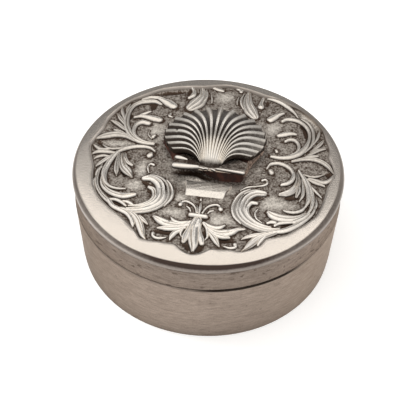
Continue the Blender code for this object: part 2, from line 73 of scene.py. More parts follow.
# ---------------------------------------------------------------- paper, room and lamp
# White paper lies under the box. The room is dark above its back wall and bright from
# overhead to the front, and one large lamp behind on the left gives the soft shadow.
# The room's greys: (share of the way from the horizon behind over the top to the horizon
# in front, grey). Behind, the left and the right part of the room differ.
BEHIND_LEFT = (
    (0.000, 0.80), (0.067, 0.70), (0.111, 0.36), (0.205, 0.22), (0.243, 0.19), (0.256, 0.46), (0.268, 1.15),
)
BEHIND_RIGHT = (
    (0.000, 0.80), (0.067, 0.70), (0.111, 0.34), (0.205, 0.22), (0.240, 0.16), (0.256, 0.52), (0.266, 1.12),
)
OVERHEAD = (
    (0.280, 1.27), (0.286, 1.46), (0.294, 0.84), (0.305, 0.86), (0.340, 1.10), (0.500, 1.12), (0.600, 1.20),
    (0.740, 1.10), (0.900, 0.70), (0.967, 0.80), (1.000, 0.85),
)
WARM_SPAN = (0.275, 0.85)
WARM = (1.0, 0.98, 0.945)
WHITE = (1.0, 1.0, 1.0)
# Each blend runs over this much of the sideways part of the direction looked in.
MIDDLE_BLEND = (-0.22, 0.08)
LEFT_BLEND = (-0.80, -0.50)
RIGHT_BLEND = (0.50, 0.80)
LEFT_GREY = 0.92
RIGHT_GREY = 0.72
PAPER_HALF = 3.0
PAPER_GREY = 0.88
PAPER_GLOW = 0.38
LAMP_SIZE = 0.35
LAMP_WATTS = 1.6
LAMP_PLACE = Vector((-0.50, 0.12, 0.42))


def feed(tree, inputs, values):
    """Feeds inputs by number or name: a socket is linked, a number, vector or colour of three parts is set."""
    for label, value in values.items():
        if isinstance(value, bpy.types.NodeSocket):
            tree.links.new(value, inputs[label])
        else:
            inputs[label].default_value = (*value, 1.0) if inputs[label].type == "RGBA" else value


def add_node(tree, kind, values=None, **settings):
    """Adds a node with these properties, feeds its inputs and returns its outputs."""
    node = tree.nodes.new(kind)
    for name, value in settings.items():
        setattr(node, name, value)
    feed(tree, node.inputs, values or {})
    return node.outputs


def maths(tree, operation, first, second=0.0, clamp=False):
    """The result of a Math node of two values."""
    return add_node(tree, "ShaderNodeMath", {0: first, 1: second}, operation=operation, use_clamp=clamp)[0]


def blend_colours(tree, factor, low, high):
    """The result of a Mix node of two colours."""
    return add_node(tree, "ShaderNodeMix", {0: factor, 6: low, 7: high}, data_type="RGBA")[2]


def grey_ramp(rows):
    """A Color Ramp of greys over the way round the room, a little warm from overhead forwards."""
    node = tree.nodes.new("ShaderNodeValToRGB")
    elements = node.color_ramp.elements
    while len(elements) < len(rows):
        elements.new(1.0)
    for element, (position, grey) in zip(elements, rows):
        element.position = position
        tint = WARM if WARM_SPAN[0] < position < WARM_SPAN[1] else WHITE
        element.color = (*(grey * part for part in tint), 1.0)
    feed(tree, node.inputs, {0: way_round})
    return node.outputs[0]


def across_room(span, first, last):
    """Blends two colours over a span of the direction's sideways part."""
    values = {"Value": direction["X"], "From Min": span[0], "From Max": span[1]}
    return blend_colours(tree, add_node(tree, "ShaderNodeMapRange", values)[0], first, last)


world = bpy.data.worlds.new("room")
bpy.context.scene.world = world
world.use_nodes = True
tree = world.node_tree
tree.nodes.clear()
direction = add_node(tree, "ShaderNodeSeparateXYZ", {0: add_node(tree, "ShaderNodeTexCoord")["Generated"]})
way_round = maths(tree, "DIVIDE", maths(tree, "ARCTAN2", direction["Z"], direction["Y"]), math.pi)
room = across_room(MIDDLE_BLEND, grey_ramp(BEHIND_LEFT + OVERHEAD), grey_ramp(BEHIND_RIGHT + OVERHEAD))
room = across_room(LEFT_BLEND, (LEFT_GREY,) * 3, room)
room = across_room(RIGHT_BLEND, room, (RIGHT_GREY,) * 3)
lit = add_node(tree, "ShaderNodeBackground", {"Color": room})[0]
seen = add_node(tree, "ShaderNodeBackground", {"Color": WHITE})[0]
to_camera = add_node(tree, "ShaderNodeLightPath")["Is Camera Ray"]
either = add_node(tree, "ShaderNodeMixShader", {0: to_camera, 1: lit, 2: seen})[0]
add_node(tree, "ShaderNodeOutputWorld", {0: either})

sheet = bpy.data.meshes.new("paper")
paper_corners = [(x * PAPER_HALF, y * PAPER_HALF, 0) for x, y in ((-1, -1), (1, -1), (1, 1), (-1, 1))]
sheet.from_pydata(paper_corners, [], [(0, 1, 2, 3)])
paper = bpy.data.objects.new("paper", sheet)
bpy.context.scene.collection.objects.link(paper)
white = bpy.data.materials.new("white_paper")
white.use_nodes = True
tree = white.node_tree
tree.nodes.clear()
rays = add_node(tree, "ShaderNodeLightPath")
seen = maths(tree, "MAXIMUM", rays["Is Camera Ray"], rays["Is Glossy Ray"])
seen = maths(tree, "MAXIMUM", seen, rays["Is Transmission Ray"])
matt = add_node(tree, "ShaderNodeBsdfDiffuse", {"Color": (PAPER_GREY,) * 3})[0]
glow = add_node(tree, "ShaderNodeEmission", {"Strength": maths(tree, "MULTIPLY", seen, PAPER_GLOW)})[0]
both = add_node(tree, "ShaderNodeAddShader", {0: matt, 1: glow})[0]
add_node(tree, "ShaderNodeOutputMaterial", {0: both})
sheet.materials.append(white)

lamp_data = bpy.data.lights.new("window", "AREA")
lamp_data.shape = "DISK"
lamp_data.size = LAMP_SIZE
lamp_data.energy = LAMP_WATTS
lamp = bpy.data.objects.new("window", lamp_data)
towards_box = (-LAMP_PLACE).to_track_quat("-Z", "Y").to_matrix()
lamp.matrix_world = Matrix.Translation(LAMP_PLACE) @ towards_box.to_4x4()
lamp.visible_glossy = False
bpy.context.scene.collection.objects.link(lamp)

# ---------------------------------------------------------------- the drum's wall
# A silver band, soldered into a drum and turned, a little narrower at its foot. It is brushed round and round,
# warm grey, with a few rubbed streaks and small pits. Painted shade darkens it by the angle round, most on the
# left, and it is darker at the foot.
BODY_TOP = 0.0251
FOOT_RADIUS = 0.0443
INNER_RADIUS = 0.0429
EDGE = 0.0003
SEAM_EDGE = 0.0001
# The wall's slope: (how much wider than the foot, height).
WALL_SLOPE = ((0.00020, 0.0030), (0.00035, 0.01004), (0.00060, 0.02008))
# The dark seam band, a dark joint with painted shadow, starts between these two depths below the seam.
SEAM_BAND = (0.0007, 0.0005)
TURNED_STEPS = 360
WALL_METAL = (0.52, 0.430, 0.364)
WALL_SHADE = (0.27, 0.214, 0.177)
WALL_TINT = (0.60, 0.56, 0.52)
SHADE_AND_DIRT = (0.035, 0.027, 0.022)
# How dark the seam is painted, a dark joint with painted shadow, by the angle round the drum in degrees (-90 is
# the front).
SEAM_JOINT_AND_SHADOW = (
    (-180, 0), (-150, .1), (-130, .2), (-115, .2), (-100, .1), (-90, .3), (-80, .75), (-65, 1), (-50, .85),
    (-38, .2), (-25, 0), (180, 0),
)
# How much painted shade darkens the walls, by the same angle, and how much darker the foot is, up to which
# height.
WALL_SHADE_BY_ANGLE = (
    (-180, .36), (-145, .30), (-115, .24), (-80, .27), (-60, .25), (-40, .10), (0, 0), (90, .2), (180, .36),
)
FOOT_DARKENING = 0.24
FOOT_DARKENING_HEIGHT = 0.0048
# The brushing: its lines' stretch and width, and how much lines, grain and streaks darken.
BRUSH_STRETCH = (0.16, 0.16, 1.0)
BRUSH_WIDTH = 0.00045
LINES_DARKEN = 0.34
GRAIN_DARKENS = 0.30
STREAKS_DARKEN = 0.20
GRAIN_RATE = 2600.0
PIT_RATE = 800.0
BRUSH_DEPTH = 0.00004
BRUSH_STRENGTH = 0.6


def grid_quads(rows, columns, wrap_rows=False, wrap_columns=False):
    """Quads between neighbours of a grid numbered row by row; a wrapped way joins its end to its start."""
    row, column = np.meshgrid(
        np.arange(rows if wrap_rows else rows - 1), np.arange(columns if wrap_columns else columns - 1),
        indexing="ij",
    )
    here, on = row * columns, (row + 1) % rows * columns
    column_on = (column + 1) % columns
    return np.stack((here + column, on + column, on + column_on, here + column_on), -1).reshape(-1, 4)


def signed_volume(points, quads):
    """Six times the volume inside the quads, the sum over both their triangles of a.(b x c); below zero where
    the shape is inside out."""
    a, b, c, d = (points[quads[:, corner]] for corner in range(4))
    return float(np.sum(a * np.cross(b, c)) + np.sum(a * np.cross(c, d)))


def add_piece(name, points, quads, material, body, node, caps=(), sharp=50, mask=None):
    """Puts a closed shape into the scene, facing outward, and hangs it on its body in place of a node."""
    points = np.asarray(points, float).reshape(-1, 3)
    turned_out = signed_volume(points, quads) > 0
    faces = [face if turned_out else face[::-1] for face in quads.tolist() + [list(cap) for cap in caps]]
    mesh = bpy.data.meshes.new(name)
    mesh.from_pydata(points.tolist(), [], faces)
    mesh.shade_smooth()
    mesh.set_sharp_from_angle(angle=math.radians(sharp))
    if mask:
        layer = mesh.attributes.new(mask[0], "FLOAT", "POINT")
        layer.data.foreach_set("value", np.asarray(mask[1], np.float32).ravel())
    mesh.materials.append(material)
    piece = bpy.data.objects.new(name, mesh)
    bpy.context.scene.collection.objects.link(piece)
    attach(piece, body)
    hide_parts(node)


def by_angle(table, angle):
    """Values given for some angles in degrees, joined by straight lines, at the angles in radians."""
    degrees, values = np.array(table).T
    return np.interp((np.degrees(angle) + 180) % 360 - 180, degrees, values)


def bearing(points):
    """The angle round the box's axis."""
    return np.arctan2(points[..., 1], points[..., 0])


def turned(profile):
    """A closed (radius, height) line swung round the box's axis: x = r cos a, y = r sin a, z = h."""
    radius, height = np.array(profile).T
    angle = np.linspace(0, 2 * math.pi, TURNED_STEPS, endpoint=False)[:, None]
    points = np.stack([radius * np.cos(angle), radius * np.sin(angle), height * np.ones_like(angle)], -1)
    return points.reshape(-1, 3), grid_quads(TURNED_STEPS, len(radius), True, True)


def node_group(name, inputs, outputs):
    """An empty shader node group with these (name, kind, value) inputs and (name, kind) outputs. Returns the
    group, the sockets that come in and those that go out."""
    group = bpy.data.node_groups.new(name, "ShaderNodeTree")
    for label, kind, value in inputs:
        group.interface.new_socket(label, in_out="INPUT", socket_type="NodeSocket" + kind).default_value = value
    for label, kind in outputs:
        group.interface.new_socket(label, in_out="OUTPUT", socket_type="NodeSocket" + kind)
    return group, group.nodes.new("NodeGroupInput").outputs, group.nodes.new("NodeGroupOutput").inputs


def noise(tree, vector, scale, detail, roughness, stretch=(1, 1, 1)):
    """The value of a Noise texture, its coordinates stretched first."""
    spread = add_node(tree, "ShaderNodeVectorMath", {0: vector, 1: stretch}, operation="MULTIPLY")[0]
    values = {"Vector": spread, "Scale": scale, "Detail": detail, "Roughness": roughness}
    return add_node(tree, "ShaderNodeTexNoise", values)["Fac"]


def spread_values(tree, value, low, high, to_low=0.0, to_high=1.0):
    """A Map Range node from low...high to to_low...to_high, clamped and smooth."""
    values = {"Value": value, "From Min": low, "From Max": high, "To Min": to_low, "To Max": to_high}
    return add_node(tree, "ShaderNodeMapRange", values, interpolation_type="SMOOTHSTEP")[0]


def object_place(tree, scale=1.0):
    """The place on the object, in metres, times a scale."""
    where = add_node(tree, "ShaderNodeTexCoord")["Object"]
    return add_node(tree, "ShaderNodeVectorMath", {0: where, "Scale": scale}, operation="SCALE")[0]


def brushing_group():
    """Brushed metal on Object coordinates: fine lines along one way, broader rubbed streaks, and small pits."""
    group, given, results = node_group(
        "brushing",
        (("Stretch", "Vector", (1, 1, 1)), ("Line Width", "Float", 0.0003), ("Pit Level", "Float", 0.72)),
        (("Lines", "Float"), ("Streaks", "Float"), ("Pits", "Float")),
    )
    sized = object_place(group, maths(group, "DIVIDE", 1.0, given["Line Width"]))
    drawn = add_node(group, "ShaderNodeVectorMath", {0: sized, 1: given["Stretch"]}, operation="MULTIPLY")[0]
    pits = noise(group, object_place(group), PIT_RATE, 2.0, 0.5, (0.6, 0.6, 1.0))
    feed(group, results, {
        "Lines": noise(group, drawn, 1.0, 3.0, 0.6),
        "Streaks": spread_values(group, noise(group, drawn, 0.35, 3.0, 0.6), 0.40, 0.68),
        "Pits": spread_values(group, maths(group, "SUBTRACT", pits, given["Pit Level"]), -0.03, 0.05),
    })
    return group


def metal(name):
    """A new metal: its material, its node tree and the inputs of its Principled BSDF."""
    material = bpy.data.materials.new(name)
    material.use_nodes = True
    shader = material.node_tree.nodes["Principled BSDF"].inputs
    shader["Metallic"].default_value = 1.0
    return material, material.node_tree, shader


def bump(tree, height, distance, strength=1.0):
    """The normal of a surface with this height on it."""
    return add_node(tree, "ShaderNodeBump", {"Strength": strength, "Distance": distance, "Height": height})[0]


def mask_value(tree, name):
    """A mask that the mesh carries at its points."""
    return add_node(tree, "ShaderNodeAttribute", attribute_name=name)["Fac"]


brushing = brushing_group()


def brushed_wall(name, clean, shade, roughness, pit_level=0.72):
    """Silver brushed round: lines run level, the rubbed streaks are darker and the pits darkest."""
    material, tree, shader = metal(name)
    values = {"Stretch": BRUSH_STRETCH, "Line Width": BRUSH_WIDTH, "Pit Level": pit_level}
    drawn = add_node(tree, "ShaderNodeGroup", values, node_tree=brushing)
    lines = spread_values(tree, drawn["Lines"], 0.30, 0.70, 0.0, LINES_DARKEN)
    grain = noise(tree, object_place(tree), GRAIN_RATE, 2.0, 0.6)
    tone = maths(tree, "ADD", lines, spread_values(tree, grain, 0.30, 0.70, 0.0, GRAIN_DARKENS))
    tone = maths(tree, "ADD", tone, maths(tree, "MULTIPLY", drawn["Streaks"], STREAKS_DARKEN), True)
    tone = maths(tree, "ADD", tone, drawn["Pits"], True)
    brushed = blend_colours(tree, tone, clean, shade)
    height = maths(tree, "SUBTRACT", drawn["Lines"], drawn["Pits"])
    feed(tree, shader, {
        # The mask blends in a dark colour: painted shade by the angle round, a dark seam with painted shadow,
        # and a darker foot.
        "Base Color": blend_colours(tree, mask_value(tree, "shade_and_dirt"), brushed, SHADE_AND_DIRT),
        "Specular Tint": WALL_TINT,
        "Roughness": spread_values(tree, drawn["Lines"], 0.2, 0.8, roughness - 0.06, roughness + 0.08),
        "Normal": bump(tree, height, BRUSH_DEPTH, BRUSH_STRENGTH),
    })
    return material


wall_metal = brushed_wall("silver_wall_brushed", WALL_METAL, WALL_SHADE, 0.50)
points, quads = turned((
    (FOOT_RADIUS - EDGE, 0.0), (FOOT_RADIUS - 0.1 * EDGE, 0.1 * EDGE), (FOOT_RADIUS, EDGE),
    *((FOOT_RADIUS + wider, height) for wider, height in WALL_SLOPE),
    *((RADIUS, BODY_TOP - depth) for depth in SEAM_BAND), (RADIUS, BODY_TOP - SEAM_EDGE),
    (RADIUS - SEAM_EDGE, BODY_TOP), (INNER_RADIUS + EDGE, BODY_TOP), (INNER_RADIUS, BODY_TOP - EDGE),
    (INNER_RADIUS, 0.5 * BODY_TOP), (INNER_RADIUS, 0.0),
))
in_seam = points[:, 2] > BODY_TOP - sum(SEAM_BAND) / 2
shade_and_dirt = in_seam * by_angle(SEAM_JOINT_AND_SHADOW, bearing(points)) + by_angle(WALL_SHADE_BY_ANGLE, bearing(points))
shade_and_dirt += FOOT_DARKENING * np.clip(1 - points[:, 2] / FOOT_DARKENING_HEIGHT, 0, 1)
add_piece(
    "body_wall_turned", points, quads, wall_metal, "body", "body_wall", mask=("shade_and_dirt", shade_and_dirt)
)

# ---------------------------------------------------------------- the drum's base plate
# A flat silver disc let into the foot of the drum and soldered in. Inside it shows
# the turning lines of the lathe; outside it stands on the table.
PLATE_RADIUS = 0.0426
PLATE_TOP = 0.0013
PLATE_EDGE = 0.0001
PLATE_METAL = (0.56, 0.48, 0.41)
PLATE_SHADE = (0.36, 0.30, 0.25)


def open_grid(rows, columns):
    """Quads of an open line of columns swung round in rows, and the two flat discs that close its ends."""
    ends = np.arange(rows) * columns
    return grid_quads(rows, columns, True, False), (ends[::-1].tolist(), (ends + columns - 1).tolist())


plate_profile = (
    (PLATE_RADIUS - 2 * EDGE, 0.0), (PLATE_RADIUS - EDGE, 0.0), (PLATE_RADIUS, EDGE),
    (PLATE_RADIUS, PLATE_TOP - PLATE_EDGE), (PLATE_RADIUS - PLATE_EDGE, PLATE_TOP),
    (PLATE_RADIUS - 2 * EDGE, PLATE_TOP),
)
base_metal = brushed_wall("silver_base_turned", PLATE_METAL, PLATE_SHADE, 0.42)
points, _ = turned(plate_profile)
quads, discs = open_grid(TURNED_STEPS, len(plate_profile))
add_piece("base_plate_turned", points, quads, base_metal, "body", "base_plate", discs)

# ---------------------------------------------------------------- the collar
# A thinner silver ring soldered inside the drum. It stands up past the seam and the
# lid slides over it; its rubbing has left it brighter than the walls.
COLLAR_OUTER = 0.0426
COLLAR_INNER = 0.0417
COLLAR_LOW = 0.0157
COLLAR_HIGH = 0.0300
COLLAR_METAL = (0.66, 0.59, 0.52)
COLLAR_SHADE = (0.44, 0.38, 0.33)

collar_metal = brushed_wall("silver_collar_rubbed", COLLAR_METAL, COLLAR_SHADE, 0.36)
points, quads = turned((
    (COLLAR_INNER, COLLAR_LOW + EDGE), (COLLAR_INNER + EDGE, COLLAR_LOW), (COLLAR_OUTER, COLLAR_LOW),
    (COLLAR_OUTER, COLLAR_HIGH - EDGE), (COLLAR_OUTER - 0.1 * EDGE, COLLAR_HIGH - 0.1 * EDGE),
    (COLLAR_OUTER - EDGE, COLLAR_HIGH), (COLLAR_INNER + EDGE, COLLAR_HIGH),
    (COLLAR_INNER + 0.1 * EDGE, COLLAR_HIGH - 0.1 * EDGE), (COLLAR_INNER, COLLAR_HIGH - EDGE),
))
add_piece("body_collar_turned", points, quads, collar_metal, "body", "body_collar")

# ---------------------------------------------------------------- the lid's wall
# A low silver band of the same gauge as the drum, soldered under the lid's plate. It
# meets the drum at a thin dark seam.
LID_WALL_OUTER = 0.04475
LID_WALL_LOW = 0.0252
LID_WALL_HIGH = 0.0331
LID_WALL_EDGE = 0.0002
LID_WALL_METAL = (0.395, 0.322, 0.270)
LID_WALL_SHADE = (0.18, 0.140, 0.115)

lid_wall_metal = brushed_wall("silver_lid_wall_brushed", LID_WALL_METAL, LID_WALL_SHADE, 0.50, 0.64)
points, quads = turned((
    (LID_WALL_OUTER - SEAM_EDGE, LID_WALL_LOW), (LID_WALL_OUTER, LID_WALL_LOW + SEAM_EDGE),
    (LID_WALL_OUTER, LID_WALL_LOW + EDGE), (LID_WALL_OUTER, LID_WALL_HIGH - LID_WALL_EDGE),
    (LID_WALL_OUTER - LID_WALL_EDGE, LID_WALL_HIGH), (INNER_RADIUS, LID_WALL_HIGH),
    (INNER_RADIUS, LID_WALL_LOW),
))
# Painted shade darkens the lid's wall by the angle round, as on the drum.
add_piece(
    "lid_wall_turned", points, quads, lid_wall_metal, "lid", "lid_wall",
    mask=("shade_and_dirt", by_angle(WALL_SHADE_BY_ANGLE, bearing(points))),
)

# ---------------------------------------------------------------- the lid's border
# The lid is one cast plate. Its border is flat and polished, rolls down softly into the sunk field, and ends
# outside in a rolled edge that carries a painted dark reflection.
LID_TOP = 0.0360
LID_UNDER = 0.0334
UNDER_EDGE = 0.0001
GROUND = 0.0351
BORDER_STEPS = 720
# The lip starts a little inside and below the field's edge; the flat keeps at least a part of its width.
LIP_SINK = 0.0003
LIP_RUN = 0.0012
LIP_POWER = 2.5
FLAT_LEAST = 0.0015
FLAT_FALL = 0.0001
ROLL_RUN_FRONT = 0.0015
ROLL_RUN_BACK = 0.0008
ROLL_DROP = 0.0013
ROLL_LAND = 0.0003
LAND_SHARES = (0.0, 0.05, 0.5, 1.0)
LAND_SHRINK = 0.00008
LAND_EDGE = 0.00025
# The rows of points across the lip, the flat and the roll.
LIP_ROWS = 15
FLAT_ROWS = 12
ROLL_ROWS = 12
BORDER_METAL = (0.88, 0.80, 0.72)
BORDER_DARK = (0.064, 0.045, 0.038)
# The patina's speckle: the fine grain's share, the coarse grain's size beside it, and how far the speckle goes.
FINE_SHARE = 0.7
COARSE_RATE = 0.28
SPECKLE_GAIN = 4.0
# The field's edge, clockwise from the front, in shares of the lid's radius.
FIELD_EDGE = (
    (0, -.88), (.06, -.86), (.12, -.81), (.25, -.80), (.33, -.81), (.44, -.74), (.47, -.67), (.60, -.62),
    (.70, -.53), (.80, -.42), (.84, -.30), (.86, -.20), (.87, -.12), (.92, .02), (.90, .12), (.87, .20),
    (.88, .28), (.85, .38), (.82, .50), (.75, .60), (.65, .70), (.55, .76), (.45, .81), (.35, .83),
    (.25, .87), (.15, .90), (.05, .92), (-.05, .90), (-.15, .87), (-.28, .85), (-.40, .82), (-.50, .78),
    (-.60, .70), (-.70, .62), (-.78, .50), (-.83, .38), (-.84, .27), (-.88, .15), (-.90, .07), (-.87, -.03),
    (-.825, -.14), (-.812, -.24), (-.785, -.34), (-.728, -.435), (-.635, -.530), (-.540, -.600),
    (-.470, -.660), (-.41, -.72), (-.36, -.79), (-.25, -.80), (-.12, -.80), (-.06, -.86),
)
EDGE_STEPS = 1440
EDGE_SPAN = 12
# How dark the painted reflection on the rolled edge is, and the share of the radius at which it starts, by the
# angle round the lid.
ROLL_PAINTED_REFLECTION = (
    (-180, .62), (-160, .78), (-145, .78), (-130, .76), (-115, .86), (-100, 1.02), (-90, 1.05), (-65, 1.02),
    (-50, .86), (-35, .82), (-20, .80), (-5, .70), (10, .54), (90, .40), (180, .62),
)
ROLL_START = (
    (-180, .970), (-160, .967), (-145, .966), (-130, .971), (-115, .973), (-100, .967), (-90, .965),
    (-80, .966), (-65, .972), (-50, .973), (-35, .967), (-20, .958), (-5, .956), (10, .965), (180, .970),
)
ROLL_FADE = 0.007
# The painted reflection is darkest on its shoulder and paler down to its foot, with one grey on the land below.
SHOULDER_DARKER = 1.06
FOOT_PALER = 0.30
LAND_PAINTED_REFLECTION = 0.76
# How dark the lip down to the field is, by the same angle, and how far that reaches: at least, and raggedly.
LIP_GRIME = (
    (-180, .45), (-150, .50), (-120, .75), (-60, .80), (-30, .60), (0, .50), (60, .72), (90, .78), (120, .62),
    (180, .45),
)
LIP_GRIME_LEAST = 0.0002
LIP_GRIME_RAGGED = 0.0020
RAGGED_SPAN = 15
# How much painted shade darkens the flat of the border, by the same angle.
FLAT_SHADE = ((-180, 0), (-35, 0), (-20, .12), (-5, .25), (10, .25), (25, .10), (40, 0), (180, 0))


def field_radius(angle):
    """The field's edge as a radius at each angle: the listed points joined, and rounded by a bell-shaped mean
    over three degrees each way."""
    edge = np.array(FIELD_EDGE) * RADIUS
    order = np.argsort(bearing(edge))
    fine = np.linspace(-math.pi, math.pi, EDGE_STEPS, endpoint=False)
    radius = np.interp(fine, bearing(edge)[order], np.hypot(*edge.T)[order], period=2 * math.pi)
    window = np.exp(-0.5 * (3 * np.arange(-EDGE_SPAN, EDGE_SPAN + 1) / EDGE_SPAN) ** 2)
    padded = np.concatenate([radius[-EDGE_SPAN:], radius, radius[:EDGE_SPAN]])
    return np.interp(angle, fine, np.convolve(padded, window / window.sum(), "valid"), period=2 * math.pi)


def ramp(value, start, run):
    """Nought up to the start, then straight up to one over the run; a run below zero goes the other way."""
    return np.clip((value - start) / run, 0, 1)


def border_points():
    """The border's cross-section at every angle: from under the field up the soft lip (its height is one less
    the 2.5th power of what is left of the run), over the flat, down the rolled edge in a quarter ellipse, and
    back underneath. Returns the points, how far they are in the lip's dirt, and the painted dark reflection on
    the rolled edge."""
    angle = np.linspace(-math.pi, math.pi, BORDER_STEPS, endpoint=False)[:, None]
    inner = field_radius(angle)
    run = np.linspace(0, 1, LIP_ROWS)[None]
    lip_radius = inner - LIP_SINK + np.minimum(LIP_RUN, (RADIUS - FLAT_LEAST - inner) / 2) * run
    lip_height = GROUND - LIP_SINK + (LID_TOP - GROUND + LIP_SINK) * (1 - (1 - run) ** LIP_POWER)
    roll_run = (ROLL_RUN_FRONT + ROLL_RUN_BACK) / 2 - (ROLL_RUN_FRONT - ROLL_RUN_BACK) / 2 * np.sin(angle)
    flat = np.linspace(0.04, 1, FLAT_ROWS)[None]
    flat_radius = lip_radius[:, -1:] + (RADIUS - roll_run - lip_radius[:, -1:]) * flat
    turn = np.linspace(0, math.pi / 2, ROLL_ROWS)[None, 1:]
    roll_radius = RADIUS - roll_run * (1 - np.sin(turn))
    roll_height = LID_TOP - FLAT_FALL - ROLL_DROP * (1 - np.cos(turn))
    roll_foot = LID_TOP - FLAT_FALL - ROLL_DROP - ROLL_LAND
    land = np.array([LAND_SHARES])
    land_height = roll_foot + (LID_UNDER + UNDER_EDGE - roll_foot) * land
    under_radius = np.concatenate([np.full_like(angle, RADIUS - LAND_EDGE), inner - LIP_SINK], 1)
    parts = (
        (lip_radius, lip_height), (flat_radius, LID_TOP - FLAT_FALL * flat**2), (roll_radius, roll_height),
        (RADIUS - LAND_SHRINK * (land > 0), land_height), (under_radius, np.full((1, 2), LID_UNDER)),
    )
    radius, height = (
        np.concatenate([np.broadcast_to(part, (BORDER_STEPS, part.shape[1])) for part in column], 1)
        for column in zip(*parts)
    )
    points = np.stack([radius * np.cos(angle), radius * np.sin(angle), height], -1)
    window = np.hanning(RAGGED_SPAN)
    ragged = np.random.default_rng(5).random(BORDER_STEPS + RAGGED_SPAN - 1)
    ragged = np.convolve(ragged, window / window.sum(), "valid")[:, None]
    reach = LIP_GRIME_LEAST + LIP_GRIME_RAGGED * ragged
    inside = np.clip(1.2 - (radius - inner) / reach, 0, 1) * (height > LID_UNDER + UNDER_EDGE)
    rolled = ramp(radius / RADIUS, by_angle(ROLL_START, angle), ROLL_FADE) * by_angle(ROLL_PAINTED_REFLECTION, angle)
    rolled *= SHOULDER_DARKER - FOOT_PALER * ramp(LID_TOP - height, 0, ROLL_DROP) ** 2
    return points, inside, np.where(height < land_height[0, :2].mean(), LAND_PAINTED_REFLECTION, rolled)


def patina_group():
    """Silver with patina: the mask and a mottle of it darken the metal and roughen it; the rest is polished."""
    group, given, results = node_group(
        "patina",
        (("Mask", "Float", 0.0), ("Mottle", "Float", 0.3), ("Grain", "Float", 1500.0),
         ("Clean", "Color", (0.8, 0.75, 0.68, 1.0)), ("Dark", "Color", (0.10, 0.08, 0.07, 1.0)),
         ("Clean Roughness", "Float", 0.2), ("Dark Roughness", "Float", 0.6)),
        (("Color", "Color"), ("Roughness", "Float"), ("Height", "Float")),
    )
    sized = object_place(group, given["Grain"])
    grain = noise(group, sized, 1.0, 4.0, 0.6)
    fine = maths(group, "MULTIPLY", grain, FINE_SHARE)
    coarse = maths(group, "MULTIPLY", noise(group, sized, COARSE_RATE, 3.0, 0.55), 1 - FINE_SHARE)
    speckle = maths(group, "SUBTRACT", maths(group, "ADD", fine, coarse), 0.5)
    mottled = maths(group, "MULTIPLY", speckle, maths(group, "MULTIPLY", given["Mottle"], SPECKLE_GAIN))
    mask = maths(group, "ADD", given["Mask"], mottled, True)
    roughness = {0: mask, 2: given["Clean Roughness"], 3: given["Dark Roughness"]}
    feed(group, results, {
        "Color": blend_colours(group, mask, given["Clean"], given["Dark"]),
        "Roughness": add_node(group, "ShaderNodeMix", roughness)[0],
        "Height": grain,
    })
    return group


patina = patina_group()


def patinated(name, clean, dark, mottle, grain, clean_roughness, dark_roughness, depth=0.00003):
    """Polished silver whose sunk parts, by the mesh's own mask, are dark with patina."""
    material, tree, shader = metal(name)
    values = {
        "Mask": mask_value(tree, "patina"), "Mottle": mottle, "Grain": grain, "Clean": clean, "Dark": dark,
        "Clean Roughness": clean_roughness, "Dark Roughness": dark_roughness,
    }
    skin = add_node(tree, "ShaderNodeGroup", values, node_tree=patina)
    normal = bump(tree, skin["Height"], depth)
    feed(tree, shader, {"Base Color": skin["Color"], "Roughness": skin["Roughness"], "Normal": normal})
    return material


border_metal = patinated("silver_border_polished", BORDER_METAL, BORDER_DARK, 0.06, 1500.0, 0.16, 0.50)
points, inside, rolled = border_points()
flat_shade = by_angle(FLAT_SHADE, bearing(points))
border_mask = np.maximum(np.maximum(rolled, inside * by_angle(LIP_GRIME, bearing(points))), flat_shade)
add_piece(
    "lid_border", points, grid_quads(BORDER_STEPS, points.shape[1], True, True), border_metal, "lid",
    "lid_plate", sharp=40, mask=("patina", border_mask),
)
